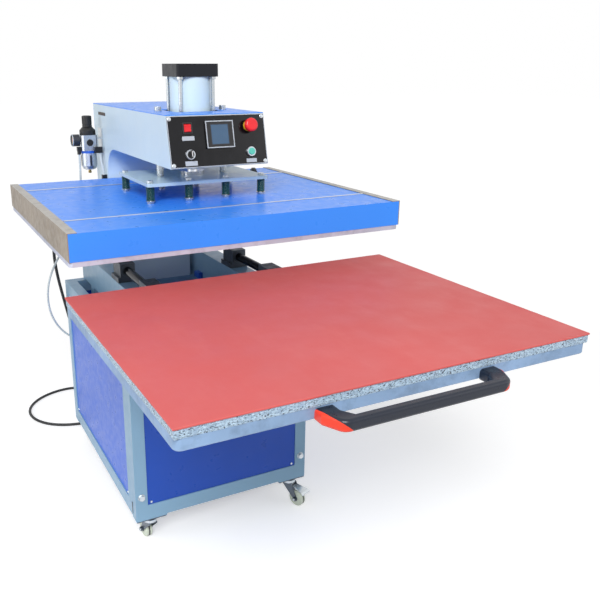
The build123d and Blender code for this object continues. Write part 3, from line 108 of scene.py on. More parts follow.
cord_diameter = 0.012
floor_z = cord_diameter / 2 + 0.0002
gland_y = rear_y - 0.078
gland_z = 1.050
coil_x = 0.120
coil_y = rear_y + 0.209
coil_turns = 4
coil_pitch = cord_diameter + 0.0008
coil_radius = 0.066
points_per_turn = 16
cord_exit = (column_low.x - 0.034, gland_y, gland_z)
cord_route = [
    cord_exit,
    (-0.247, gland_y, gland_z),
    (-0.304, 0.833, 1.022),
    (-0.344, 0.850, 0.968),
    (-0.361, 0.872, 0.896),
    (-0.360, 0.891, 0.818),
    (-0.350, 0.907, 0.738),
    (-0.334, 0.921, 0.656),
    (-0.316, 0.934, 0.570),
    (-0.297, 0.945, 0.480),
    (-0.275, 0.954, 0.390),
    (-0.250, 0.966, 0.302),
    (-0.222, 0.988, 0.216),
    (-0.193, 1.031, 0.138),
    (-0.166, 1.096, 0.072),
    (-0.144, 1.180, 0.026),
    (-0.130, 1.272, floor_z),
    (-0.146, 1.358, floor_z),
    (-0.212, 1.411, floor_z),
    (-0.296, 1.411, floor_z),
    (-0.378, 1.376, floor_z),
    (-0.440, 1.314, floor_z),
    (-0.470, 1.234, floor_z),
    (-0.458, 1.145, floor_z),
    (-0.406, 1.070, floor_z),
    (-0.325, 1.025, floor_z),
    (-0.234, 1.012, floor_z),
    (-0.142, 1.010, floor_z),
    (-0.048, 1.013, floor_z),
]


def coil_point(turn):
    """In on the floor and out again on top, with a climb in the half turn between the layers."""
    middle = coil_turns / 2
    widening = (1 + math.cos(math.pi / points_per_turn)) / 2
    radius = (coil_radius - coil_pitch * middle / 2 + coil_pitch * abs(turn - middle)) / widening
    angle = 2 * math.pi * turn - math.pi / 2
    climbed = min(max(2 * (turn - middle) + 0.5, 0), 1)
    height = floor_z + coil_pitch * (1 - math.cos(math.pi * climbed)) / 2
    return Vector((coil_x + radius * math.cos(angle), coil_y + radius * math.sin(angle), height))


def coil_way(turn):
    """The direction in which the coil runs at a turn."""
    step = 0.001
    return (coil_point(turn + step) - coil_point(turn - step)).normalized()


coil_lead = 0.086
coil_tail = 0.062
cord_route.append(tuple(coil_point(0) - coil_way(0) * coil_lead))
cord_route += [tuple(coil_point(step / points_per_turn)) for step in range(coil_turns * points_per_turn + 1)]
cord_route.append(tuple(coil_point(coil_turns) + coil_way(coil_turns) * coil_tail))
power_cord = cord_curve("mains_cord", cord_route, cord_diameter)

tube_diameter = 0.008
inlet_y = rear_y + 0.022
tube_exit = (unit_low.x - 0.009, unit_y - 0.006, unit_low.z - 0.014)
tube_route = [
    tube_exit,
    (tube_exit[0], tube_exit[1], 1.142),
    (-0.257, 0.813, 1.058),
    (-0.277, 0.815, 0.981),
    (-0.306, 0.825, 0.909),
    (-0.343, 0.839, 0.846),
    (-0.377, 0.854, 0.782),
    (-0.398, 0.868, 0.712),
    (-0.401, 0.883, 0.637),
    (-0.386, 0.900, 0.567),
    (-0.354, 0.916, 0.505),
    (-0.309, 0.927, 0.459),
    (-0.252, inlet_y + 0.0015, 0.432),
    (-0.214, inlet_y, 0.424),
    (-0.180, inlet_y, 0.424),
]
air_tube = cord_curve("air_line", tube_route, tube_diameter)


# Materials
def srgb(red, green, blue):
    """A colour from 0 to 255 as a screen shows it, for a shader's socket."""
    shares = (red / 255, green / 255, blue / 255)
    linear = [s / 12.92 if s <= 0.04045 else ((s + 0.055) / 1.055) ** 2.4 for s in shares]
    return (*linear, 1.0)


def ranged(tree, source, settings):
    """A value drawn from its range to another, as From Min, From Max, To Min and To Max."""
    node = tree.nodes.new("ShaderNodeMapRange")
    for socket, value in zip(("From Min", "From Max", "To Min", "To Max"), settings):
        node.inputs[socket].default_value = value
    tree.links.new(source, node.inputs["Value"])
    return node.outputs["Result"]


mix_first = 6
mix_second = 7
mix_result = 2


class Finish:
    """A material being made: its shader, and short ways to feed the shader's sockets."""

    def __init__(self, name, rough, metal=0.0):
        self.material = bpy.data.materials.new(name)
        self.material.use_nodes = True
        self.tree = self.material.node_tree
        self.shader = self.tree.nodes["Principled BSDF"]
        self.shader.inputs["Roughness"].default_value = rough
        self.shader.inputs["Metallic"].default_value = metal
        self.place = self.tree.nodes.new("ShaderNodeTexCoord").outputs["Object"]
        self.relief = None

    def set(self, socket, value):
        self.shader.inputs[socket].default_value = value

    def wire(self, source, target):
        self.tree.links.new(source, target)

    def stretched(self, scale, turn=(0, 0, 0)):
        """Object coordinates, scaled unevenly and turned, for a grain with a direction."""
        mapping = self.tree.nodes.new("ShaderNodeMapping")
        mapping.inputs["Scale"].default_value = scale
        mapping.inputs["Rotation"].default_value = turn
        self.wire(self.place, mapping.inputs["Vector"])
        return mapping.outputs["Vector"]

    def noise(self, scale, detail=2.0, rough=0.5, place=None):
        node = self.tree.nodes.new("ShaderNodeTexNoise")
        node.inputs["Scale"].default_value = scale
        node.inputs["Detail"].default_value = detail
        node.inputs["Roughness"].default_value = rough
        self.wire(place or self.place, node.inputs["Vector"])
        return node.outputs["Fac"]

    def spread(self, source, low, high, new_low=0.0, new_high=1.0):
        """A value between low and high, drawn out to a new range."""
        return ranged(self.tree, source, (low, high, new_low, new_high))

    def blend(self, share, first, second):
        """Between two colours, each a tuple or another node's output."""
        node = self.tree.nodes.new("ShaderNodeMix")
        node.data_type = "RGBA"
        for socket, colour in ((node.inputs[mix_first], first), (node.inputs[mix_second], second)):
            if isinstance(colour, tuple):
                socket.default_value = colour
            else:
                self.wire(colour, socket)
        self.wire(share, node.inputs["Factor"])
        return node.outputs[mix_result]

    def colour(self, source):
        self.wire(source, self.shader.inputs["Base Color"])

    def drift(self, colour, amount, scale, detail=3.0):
        """A colour that drifts a little lighter and darker over the surface."""
        share = self.spread(self.noise(scale, detail), 0.3, 0.7)
        darker = (*[c * (1 - amount) for c in colour[:3]], 1.0)
        lighter = (*[min(1.0, c * (1 + amount)) for c in colour[:3]], 1.0)
        return self.blend(share, darker, lighter)

    def rough_range(self, source, low, high):
        self.wire(self.spread(source, 0.3, 0.7, low, high), self.shader.inputs["Roughness"])

    def bump(self, height, strength, distance):
        """Adds relief; a second call lies on top of the first."""
        node = self.tree.nodes.new("ShaderNodeBump")
        node.inputs["Strength"].default_value = strength
        node.inputs["Distance"].default_value = distance
        self.wire(height, node.inputs["Height"])
        if self.relief is not None:
            self.wire(self.relief, node.inputs["Normal"])
        self.relief = node.outputs["Normal"]
        self.wire(self.relief, self.shader.inputs["Normal"])


def powder_coat(name, colour, rough=0.33, coat=0.06, gloss=0.3):
    """Sprayed and baked paint: an orange-peel skin with slow patches and a faint dusty bloom."""
    finish = Finish(name, rough)
    bloom = finish.spread(finish.noise(3.0, 4.0, 0.5), 0.5, 0.8, 0.0, 0.12)
    dusty = tuple(0.9 * c + 0.06 for c in colour[:3])
    finish.colour(finish.blend(bloom, finish.drift(colour, 0.05, 2.2), (*dusty, 1.0)))
    finish.rough_range(finish.noise(35.0, 4.0), rough - 0.07, rough + 0.1)
    finish.bump(finish.noise(420.0, 2.0), 0.02, 0.0003)
    finish.set("Specular IOR Level", gloss)
    finish.set("Coat Weight", coat)
    finish.set("Coat Roughness", 0.12)
    return finish.material


def brushed_metal(name, colour, rough, scale=(1.0, 60.0, 60.0), turn=(0, 0, 0), depth=0.1):
    """Metal with fine parallel marks along one direction."""
    finish = Finish(name, rough, metal=1.0)
    marks = finish.noise(14.0, 5.0, 0.65, finish.stretched(scale, turn))
    patches = finish.drift(colour, 0.1, 9.0)
    darker = tuple(0.82 * c for c in colour[:3])
    finish.colour(finish.blend(finish.spread(marks, 0.35, 0.75, 0.0, 0.7), patches, (*darker, 1.0)))
    finish.rough_range(marks, rough - 0.08, rough + 0.12)
    finish.bump(marks, depth, 0.0003)
    return finish.material


def raw_casting(name, colour, rough=0.5, grain=260.0, metal=0.85):
    """Cast metal: a pebbled skin with darker stains."""
    finish = Finish(name, rough, metal=metal)
    stains = finish.spread(finish.noise(26.0, 6.0, 0.65), 0.5, 0.72, 0.0, 0.55)
    darker = tuple(0.55 * c for c in colour[:3])
    finish.colour(finish.blend(stains, finish.drift(colour, 0.12, 6.0), (*darker, 1.0)))
    finish.rough_range(finish.noise(55.0, 4.0), rough - 0.1, rough + 0.15)
    finish.bump(finish.noise(grain, 4.0), 0.35, 0.0006)
    return finish.material


def polished_metal(name, colour, rough=0.12):
    """Ground and polished metal with hairlines and a few smudges."""
    finish = Finish(name, rough, metal=1.0)
    smudges = finish.noise(24.0, 4.0)
    finish.colour(finish.drift(colour, 0.06, 14.0))
    finish.rough_range(smudges, rough - 0.04, rough + 0.08)
    finish.bump(finish.noise(700.0, 2.0, 0.5, finish.stretched((1.0, 1.0, 0.15))), 0.03, 0.0002)
    return finish.material


def moulded_plastic(name, colour, rough=0.42, grain=0.12):
    """Moulded plastic with a fine spark-eroded grain."""
    finish = Finish(name, rough)
    finish.colour(finish.drift(colour, 0.07, 18.0))
    finish.rough_range(finish.noise(60.0, 3.0), rough - 0.05, rough + 0.09)
    finish.bump(finish.noise(900.0, 2.0), grain, 0.0003)
    return finish.material


def rubber_skin(name, colour, rough=0.6, grain=500.0):
    """Soft rubber with a dusty bloom."""
    finish = Finish(name, rough)
    bloom = finish.spread(finish.noise(30.0, 5.0), 0.5, 0.75, 0.0, 0.3)
    pale = tuple(0.8 * c + 0.08 for c in colour[:3])
    finish.colour(finish.blend(bloom, finish.drift(colour, 0.08, 12.0), (*pale, 1.0)))
    finish.rough_range(finish.noise(50.0, 3.0), rough - 0.08, rough + 0.1)
    finish.bump(finish.noise(grain, 2.0), 0.15, 0.0003)
    return finish.material


def silicone_sheet():
    """Red silicone rubber, matte, with a cloth-pressed grain and paler rub marks."""
    finish = Finish("silicone_red", 0.55)
    colour = srgb(206, 92, 90)
    streaks = finish.noise(5.0, 6.0, 0.65, finish.stretched((3.0, 1.0, 1.0)))
    rubs = finish.spread(streaks, 0.52, 0.8, 0.0, 0.35)
    finish.colour(finish.blend(rubs, finish.drift(colour, 0.06, 1.6), srgb(216, 116, 112)))
    finish.rough_range(finish.noise(14.0, 4.0), 0.46, 0.62)
    finish.bump(finish.noise(650.0, 2.0), 0.25, 0.0004)
    finish.bump(finish.noise(7.0, 3.0), 0.12, 0.004)
    return finish.material


def pressed_felt():
    """Recycled felt board: pale fibres with dark and blue flecks, and a torn, hairy side."""
    finish = Finish("felt_fleck", 0.95)
    fibres = finish.noise(190.0, 5.0, 0.7, finish.stretched((1.0, 1.0, 1.7)))
    ground = finish.blend(finish.spread(fibres, 0.38, 0.62), srgb(132, 158, 184), srgb(196, 222, 240))
    scraps = finish.noise(210.0, 3.0, 0.6, finish.stretched((1.0, 1.0, 1.6), (0.4, 0.0, 0.6)))
    ground = finish.blend(finish.spread(scraps, 0.56, 0.61), ground, srgb(26, 36, 58))
    lumps = finish.spread(finish.noise(70.0, 3.0), 0.58, 0.66, 0.0, 0.8)
    finish.colour(finish.blend(lumps, ground, srgb(150, 176, 204)))
    finish.bump(fibres, 0.8, 0.003)
    finish.set("Sheen Weight", 0.25)
    finish.set("Sheen Roughness", 0.6)
    return finish.material


def cord_sheath(name, colour, rough):
    """A smooth extruded sheath, dusty along its length."""
    finish = Finish(name, rough)
    dust = finish.spread(finish.noise(40.0, 5.0), 0.5, 0.8, 0.0, 0.35)
    pale = tuple(0.75 * c + 0.07 for c in colour[:3])
    finish.colour(finish.blend(dust, finish.drift(colour, 0.1, 20.0), (*pale, 1.0)))
    finish.rough_range(finish.noise(60.0, 3.0), rough - 0.06, rough + 0.12)
    finish.bump(finish.noise(500.0, 2.0), 0.08, 0.0002)
    return finish.material


blue_paint = powder_coat("paint_blue", srgb(58, 142, 250))
# Painted shade: the cabinet's panels get a darker copy of the blue paint used on the platen and head
cabinet_shaded_blue = powder_coat("paint_cabinet_shaded_blue", srgb(38, 98, 212))
# Painted shadow: a still darker copy of the blue paint for the cabinet's front faces under the table
front_shadow_blue = powder_coat("paint_front_shadow_blue", srgb(26, 76, 178))
frame_paint = powder_coat("paint_frame", srgb(134, 170, 196), 0.36)
head_paint = powder_coat("paint_head", srgb(204, 224, 236), 0.36)
panel_black = powder_coat("panel_black", srgb(9, 9, 14), 0.16, 0.0, 0.35)
cap_black = powder_coat("cap_black", srgb(16, 18, 26), 0.3, 0.0, 0.3)
zinc = brushed_metal("zinc_plate", srgb(206, 212, 216), 0.3, (20.0, 20.0, 20.0), depth=0.05)
# Painted shade: a darker copy of the zinc plating for the caster forks and plates under the cabinet
shaded_zinc = brushed_metal("zinc_shaded", srgb(104, 112, 122), 0.3, (20.0, 20.0, 20.0), depth=0.05)
bright_steel = brushed_metal("bolt_steel", srgb(190, 196, 200), 0.26, (12.0, 12.0, 30.0), depth=0.05)
skirt_metal = raw_casting("skirt_metal", srgb(146, 134, 120), 0.45, 300.0, 0.25)
strip_metal = brushed_metal("strip_metal", srgb(214, 216, 218), 0.38, (1.0, 60.0, 60.0))
# Painted top light: the skirts' upward faces are paler than their sides
lip_painted_top_light = raw_casting("lip_painted_top_light", srgb(176, 172, 166), 0.42, 300.0, 0.2)
plate_metal = powder_coat("plate_pale", srgb(180, 202, 214), 0.34)
barrel_metal = powder_coat("barrel_satin", srgb(208, 228, 238), 0.34)
block_metal = raw_casting("block_grey", srgb(70, 78, 88), 0.42, 300.0, 0.4)
# Painted reflection: the aluminium casting's bluish tint stands in for blue surroundings reflected in it
table_metal_blue_reflection = raw_casting("table_casting", srgb(138, 166, 200), 0.5, 180.0, 0.3)
unit_metal = brushed_metal("unit_silver", srgb(206, 212, 220), 0.3, (12.0, 12.0, 12.0))
heater_metal = raw_casting("heater_plate", srgb(186, 190, 208), 0.5, 240.0, 0.15)
# Painted reflection: the polished shafts get a near-black base colour that stands in for dark surroundings
# they reflect
shaft_dark_reflection = polished_metal("shaft_dark_reflection", srgb(30, 30, 36), 0.16)
chrome = polished_metal("chrome", srgb(226, 228, 232), 0.08)
brass = polished_metal("brass", srgb(196, 158, 84), 0.2)
spring_green = powder_coat("spring_green", srgb(22, 74, 68), 0.3, 0.3)
fibre_white = rubber_skin("fibre_white", srgb(228, 224, 214), 0.9, 300.0)
navy = moulded_plastic("handle_navy", srgb(16, 24, 40), 0.3)
orange = moulded_plastic("handle_orange", srgb(232, 60, 34), 0.38)
black_plastic = moulded_plastic("plastic_black", srgb(17, 18, 21), 0.4)
grey_plastic = moulded_plastic("plastic_grey", srgb(40, 44, 52), 0.42)
red_plastic = moulded_plastic("plastic_red", srgb(222, 30, 40), 0.28, 0.04)
yellow_plastic = moulded_plastic("plastic_yellow", srgb(232, 190, 40), 0.35, 0.06)
green_plastic = moulded_plastic("plastic_green", srgb(84, 190, 172), 0.3, 0.05)
white_plastic = moulded_plastic("plastic_white", srgb(228, 230, 228), 0.4, 0.05)
silver_plastic = moulded_plastic("plastic_silver", srgb(176, 184, 192), 0.35, 0.05)
dial_cream = moulded_plastic("dial_cream", srgb(232, 226, 202), 0.5, 0.03)
ring_blue = moulded_plastic("ring_blue", srgb(34, 92, 196), 0.35, 0.05)
display_blue = moulded_plastic("display_blue", srgb(62, 92, 120), 0.12, 0.01)
wheel_cream = moulded_plastic("wheel_cream", srgb(206, 214, 196), 0.34, 0.06)
tread_dark = moulded_plastic("tread_dark", srgb(44, 44, 48), 0.6, 0.2)
vent_shade_brown = moulded_plastic("vent_shade_brown", srgb(58, 46, 40), 0.5, 0.2)
cord_black = cord_sheath("cord_black", srgb(22, 23, 26), 0.5)
tube_grey = cord_sheath("tube_pale", srgb(196, 204, 206), 0.28)
mat_red = silicone_sheet()
felt = pressed_felt()


# Ways to make pieces
def pick(*pieces):
    """Selects these pieces alone; the last one is active."""
    if bpy.context.object and bpy.context.object.mode != "OBJECT":
        bpy.ops.object.mode_set(mode="OBJECT")
    bpy.ops.object.select_all(action="DESELECT")
    for piece in pieces:
        piece.select_set(True)
        bpy.context.view_layer.objects.active = piece


def modify(piece, kind, **settings):
    """Adds a modifier with these settings and applies it."""
    pick(piece)
    modifier = piece.modifiers.new(kind.lower(), kind)
    for name, value in settings.items():
        setattr(modifier, name, value)
    bpy.ops.object.modifier_apply(modifier=modifier.name)


sharp_angle = math.radians(32.0)


def break_edges(piece, width, segments=2):
    """Rounds the sharp edges and smooths what lies between them."""
    if width > 0:
        limits = {"limit_method": "ANGLE", "angle_limit": sharp_angle}
        modify(piece, "BEVEL", width=width, segments=segments, **limits)
    pick(piece)
    bpy.ops.object.shade_smooth_by_angle(angle=sharp_angle)
    modify(piece, "WEIGHTED_NORMAL", mode="FACE_AREA", weight=90, keep_sharp=True)


def hold(piece, body, material, replaces=()):
    """Gives a finished piece its material and its body."""
    piece.data.materials.clear()
    piece.data.materials.append(material)
    if replaces:
        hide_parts(*replaces)
    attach(piece, body)
    return piece


nearly_upright = 0.9


def set_on(piece, spot, way, up=None):
    """Turns a piece made at the origin so that its z axis points along way, and puts it on the spot."""
    z_axis = Vector(way).normalized()
    if up is None:
        up = (0, 1, 0) if abs(z_axis.z) > nearly_upright else (0, 0, 1)
    y_axis = (Vector(up) - z_axis * z_axis.dot(Vector(up))).normalized()
    x_axis = y_axis.cross(z_axis)
    piece.matrix_world = Matrix.Translation(spot) @ Matrix((x_axis, y_axis, z_axis)).transposed().to_4x4()
    pick(piece)
    bpy.ops.object.transform_apply(location=True, rotation=True, scale=True)


def round_sheet(name, radius, height, sides):
    """A flat disc at a height, ready to be shaped, with all of it selected."""
    pick()
    disc = {"vertices": sides, "radius": radius, "fill_type": "NGON", "location": (0, 0, height)}
    bpy.ops.mesh.primitive_circle_add(**disc)
    piece = bpy.context.object
    piece.name = name
    bpy.ops.object.transform_apply(location=True, rotation=True, scale=True)
    bpy.ops.object.mode_set(mode="EDIT")
    bpy.ops.mesh.select_all(action="SELECT")
    return piece


def turned(name, steps, spot, way, sides=40, smooth=sharp_angle):
    """A lathe-turned piece: circles of a radius at a height, from its foot up, along way."""
    radius, height = steps[0]
    piece = round_sheet(name, radius, height, sides)
    for next_radius, next_height in steps[1:]:
        bpy.ops.mesh.extrude_region_move(TRANSFORM_OT_translate={"value": (0, 0, next_height - height)})
        ratio = next_radius / radius
        bpy.ops.transform.resize(value=(ratio, ratio, 1.0), center_override=(0, 0, next_height))
        radius, height = next_radius, next_height
    bpy.ops.mesh.select_all(action="DESELECT")
    bpy.ops.mesh.select_non_manifold()
    bpy.ops.mesh.edge_face_add()
    bpy.ops.mesh.select_all(action="SELECT")
    bpy.ops.mesh.normals_make_consistent(inside=False)
    bpy.ops.object.mode_set(mode="OBJECT")
    set_on(piece, spot, way)
    bpy.ops.object.shade_smooth_by_angle(angle=smooth)
    return piece


def rounded_plate(name, size, spot, way, edge, up=None):
    """A plate with broken edges that stands on a spot: width, height up it, and depth along way."""
    pick()
    bpy.ops.mesh.primitive_cube_add(size=1.0, location=(0, 0, size[2] / 2), scale=size)
    piece = bpy.context.object
    piece.name = name
    bpy.ops.object.transform_apply(location=True, rotation=True, scale=True)
    set_on(piece, spot, way, up)
    break_edges(piece, edge, 2)
    return piece


def hollow_out(piece, band, depth):
    """Leaves a selected flat sheet only its outer band, and thickens it."""
    bpy.ops.mesh.inset(thickness=band)
    bpy.ops.mesh.delete(type="FACE")
    bpy.ops.object.mode_set(mode="OBJECT")
    modify(piece, "SOLIDIFY", thickness=depth, offset=-1.0)


def border(name, size, band, spot, way, up=None):
    """A flat frame with an open middle: width, height and depth, and the width of its band."""
    pick()
    bpy.ops.mesh.primitive_plane_add(size=1.0, location=(0, 0, size[2]))
    piece = bpy.context.object
    piece.name = name
    piece.scale = (size[0], size[1], 1.0)
    bpy.ops.object.transform_apply(location=True, rotation=True, scale=True)
    bpy.ops.object.mode_set(mode="EDIT")
    bpy.ops.mesh.select_all(action="SELECT")
    hollow_out(piece, band, size[2])
    set_on(piece, spot, way, up)
    break_edges(piece, size[2] / 4, 2)
    return piece


def hoop(name, outer, inner, depth, spot, way):
    """A flat ring with an open middle."""
    piece = round_sheet(name, outer, depth, 48)
    hollow_out(piece, outer - inner, depth)
    set_on(piece, spot, way)
    break_edges(piece, depth / 5, 2)
    return piece


def lettering(name, words, size, spot, way, up=None):
    """Plain numbers or marks, a little raised."""
    pick()
    bpy.ops.object.text_add(location=(0, 0, 0))
    piece = bpy.context.object
    piece.name = name
    piece.data.body = words
    piece.data.size = size
    piece.data.align_x = "CENTER"
    piece.data.align_y = "CENTER"
    piece.data.extrude = 0.0001
    bpy.ops.object.convert(target="MESH")
    set_on(piece, spot, way, up)
    return piece


joints = {joint["name"]: joint for joint in frame["record"]["behaviour"]["joints"]}
bodies = {node: body for body, nodes in frame["record"]["behaviour"]["bodies"].items() for node in nodes}


same_spot = 0.000005
flat_turn = math.radians(0.6)


def dressed(node, material, width):
    """A copy of a CAD solid with its edges broken, shown in the solid's place."""
    piece = bpy.data.objects.new(f"{node}_dressed", frame["nodes"][node].data.copy())
    scene.collection.objects.link(piece)
    pick(piece)
    bpy.ops.object.mode_set(mode="EDIT")
    bpy.ops.mesh.select_all(action="SELECT")
    bpy.ops.mesh.remove_doubles(threshold=same_spot)
    bpy.ops.mesh.dissolve_limited(angle_limit=flat_turn)
    bpy.ops.object.mode_set(mode="OBJECT")
    break_edges(piece, width)
    return hold(piece, bodies[node], material, (node,))


def plain(node, material):
    """Leaves a CAD solid showing, with a better material."""
    solid = frame["nodes"][node]
    solid.data.materials.clear()
    solid.data.materials.append(material)


dressed_nodes = {
    "cabinet_frame": (frame_paint, 0.0022),
    "cabinet_panels": (cabinet_shaded_blue, 0.0004),
    "slide_beams": (frame_paint, 0.003),
    "bearing_blocks": (block_metal, 0.001),
    "c_frame": (head_paint, 0.0009),
    "column_rear_cover": (blue_paint, 0.0006),
    "head_top_cover": (blue_paint, 0.0008),
    "control_panel": (panel_black, 0.0005),
    "rocker_housing": (black_plastic, 0.0006),
    "button_bezels": (unit_metal, 0.0002),
    "controller": (black_plastic, 0.0006),
    "estop_collar": (yellow_plastic, 0.0006),
    "cylinder_caps": (cap_black, 0.0012),
    "tie_rods": (bright_steel, 0.0005),
    "regulator_bracket": (zinc, 0.0006),
    "rocker_switch": (red_plastic, 0.0005),
    "selector_knob": (black_plastic, 0.0006),
    "start_button": (green_plastic, 0.0),
    "estop_button": (red_plastic, 0.0),
    "table_casting": (table_metal_blue_reflection, 0.001),
    "shaft_supports": (block_metal, 0.001),
    "press_plate": (plate_metal, 0.0008),
    "guide_rods": (bright_steel, 0.0008),
    "platen_cover": (blue_paint, 0.0014),
    "platen_trim": (skirt_metal, 0.0006),
    "heater_plate": (heater_metal, 0.0008),
    "spring_bolts": (bright_steel, 0.0006),
    "caster_plates": (shaded_zinc, 0.0005),
    "brake_pedal": (zinc, 0.0005),
    "cabinet_screws": (zinc, 0.0003),
    "power_gland": (black_plastic, 0.0006),
    "power_plug": (black_plastic, 0.0012),
}
plain_nodes = {
    "cylinder_mount": bright_steel,
    "cylinder_barrel": barrel_metal,
    "regulator_body": unit_metal,
    "regulator_bowl": unit_metal,
    "pressure_gauge": grey_plastic,
    "air_fittings": black_plastic,
    "solenoid_valve": black_plastic,
    "gauge_needle": red_plastic,
    "slide_shafts": shaft_dark_reflection,
    "handle_bar": navy,
    "handle_ends": orange,
    "piston_rod": chrome,
    "insulation_board": fibre_white,
}
for node, (material, width) in dressed_nodes.items():
    dressed(node, material, width)
for node, material in plain_nodes.items():
    plain(node, material)

# Strips on the platen are bare and pale; the upward faces of its skirts' lips are greyer than the strips and
# painted lighter than the skirts' sides, a painted top light
skirt_lip = 0.040
lip_x = cover_high.x - skirt_lip
lit_faces_up = 0.5
platen_trim = bpy.data.objects["platen_trim_dressed"]
platen_trim.data.materials.append(strip_metal)
platen_trim.data.materials.append(lip_painted_top_light)
for polygon in platen_trim.data.polygons:
    if abs(polygon.center.x) < lip_x:
        polygon.material_index = 1
    elif polygon.normal.z > lit_faces_up:
        polygon.material_index = 2

# Painted shadow: the cabinet's front faces, under the table, get the darkest copy of the blue paint
front_shadow_room = 0.03
panels = bpy.data.objects["cabinet_panels_dressed"]
panels.data.materials.append(front_shadow_blue)
for polygon in panels.data.polygons:
    if polygon.center.y < frame_low.y + front_shadow_room:
        polygon.material_index = 1

# Casters: a dark band round each tread, a bright ring at each crown and a domed nut on each axle end
crown_steps = [(0.0228, 0.0), (0.0238, 0.0008), (0.0238, 0.0095), (0.0225, 0.0103)]
crown_z = 0.0845
cap_steps = [(0.0052, 0.0), (0.0052, 0.0012), (0.0046, 0.0028), (0.0028, 0.0041), (0.0008, 0.0045)]
axle_end = 0.0218
tread_band = 0.0028
tread_radius = 0.0275
for corner in ("front_left", "front_right", "rear_left", "rear_right"):
    # Painted shade: the forks take the darker copy of the zinc
    dressed(f"{corner}_fork", shaded_zinc, 0.0005)
    wheel = dressed(f"{corner}_wheel", wheel_cream, 0.0004)
    wheel.data.materials.append(tread_dark)
    axle = Vector(joints[f"{corner}_roll"]["axis"])
    wheel_spot = Vector(joints[f"{corner}_roll"]["pos_m"])
    pick(wheel)
    bpy.ops.object.mode_set(mode="EDIT")
    for side in (-tread_band, tread_band):
        bpy.ops.mesh.select_all(action="SELECT")
        bpy.ops.mesh.bisect(plane_co=wheel_spot + axle * side, plane_no=axle)
    bpy.ops.object.mode_set(mode="OBJECT")
    for polygon in wheel.data.polygons:
        from_middle = polygon.center - wheel_spot
        along = abs(from_middle.dot(axle))
        polygon.material_index = 1 if along < tread_band and from_middle.length > tread_radius else 0
    swivel_spot = Vector(joints[f"{corner}_swivel"]["pos_m"])
    crown = Vector((swivel_spot.x, swivel_spot.y, crown_z))
    ring = turned(f"{corner}_crown_ring", crown_steps, crown, (0, 0, 1))
    hold(ring, f"{corner}_swivel", zinc)
    for side in (-1, 1):
        cap_spot = wheel_spot + axle * side * axle_end
        cap = turned(f"{corner}_axle_cap_{side + 1}", cap_steps, cap_spot, axle * side, 20)
        hold(cap, f"{corner}_swivel", bright_steel)

# Cords, with their material and body
hold(power_cord, "base", cord_black, ("power_cord", "power_cord_coil"))
hold(air_tube, "base", tube_grey, ("air_tube",))


# Table pad
def slab_piece(name, low, high, cuts):
    """A closed block between two corners, cut across into strips for later shaping."""
    pick()
    bpy.ops.mesh.primitive_cube_add(size=1.0, location=(low + high) / 2)
    piece = bpy.context.object
    piece.name = name
    piece.scale = high - low
    bpy.ops.object.transform_apply(location=True, rotation=True, scale=True)
    bpy.ops.object.mode_set(mode="EDIT")
    bpy.ops.mesh.select_all(action="SELECT")
    bpy.ops.mesh.subdivide(number_cuts=cuts)
    bpy.ops.object.mode_set(mode="OBJECT")
    return piece


on_side = 1e-6


def crown_sides(piece, depth, wave, low, high):
    """Draws the sides in at top and bottom, and lets them wander a little, as a cut soft board does."""
    middle_z = (low.z + high.z) / 2
    half_z = (high.z - low.z) / 2
    for vertex in piece.data.vertices:
        x, y, z = vertex.co
        lift = abs(z - middle_z) / half_z
        drawn = depth * lift ** 4
        wander = wave * math.sin(31.0 * (x + y) + 9.0 * math.sin(13.0 * (x - y)))
        for axis, value in ((0, x), (1, y)):
            if abs(value - low[axis]) < on_side:
                vertex.co[axis] = low[axis] + drawn + wave + wander
            elif abs(value - high[axis]) < on_side:
                vertex.co[axis] = high[axis] - drawn - wave - wander


felt_piece = slab_piece("felt_pad", felt_low, felt_high, 48)
crown_sides(felt_piece, 0.0008, 0.0004, felt_low, felt_high)
pick(felt_piece)
bpy.ops.object.shade_smooth_by_angle(angle=math.radians(40))
hold(felt_piece, "table", felt, ("felt_board",))

mat_piece = slab_piece("mat_sheet", mat_low, mat_high, 40)
crown_sides(mat_piece, 0.0006, 0.0003, mat_low, mat_high)
break_edges(mat_piece, 0.0008, 3)
hold(mat_piece, "table", mat_red, ("silicone_mat",))

# The short hose between the unit and the column is pale, and its fittings are black
fittings = frame["nodes"]["air_fittings"]
fittings.data.materials.append(tube_grey)
hose_low_z = 1.1495
hose_high_z = 1.2305
for polygon in fittings.data.polygons:
    if hose_low_z < polygon.center.z < hose_high_z and polygon.center.x > unit_high.x:
        polygon.material_index = 1

# Springs between the platen's washers and the press plate, with closed ends
spring_pitch = 0.127
spring_row = 0.1265
spring_seat = 1.1482
spring_gap = 0.0003
spring_height = plate_low.z - spring_gap - spring_seat
spring_wire = 0.0029
spring_radius = 0.01205
spring_turns = 12
closed_gap = 0.00005
closed_rise = spring_wire + closed_gap
open_rise = (spring_height - spring_wire - 2 * closed_rise) / (spring_turns - 2)
points_per_curl = 14


def spring_point(turn):
    """A helix whose first and last turns lie closed on their neighbours."""
    angle = 2 * math.pi * turn
    opened = min(max(turn - 1, 0), spring_turns - 2)
    height = spring_seat + spring_wire / 2 + closed_rise * (turn - opened) + open_rise * opened
    return (spring_radius * math.cos(angle), spring_radius * math.sin(angle), height)


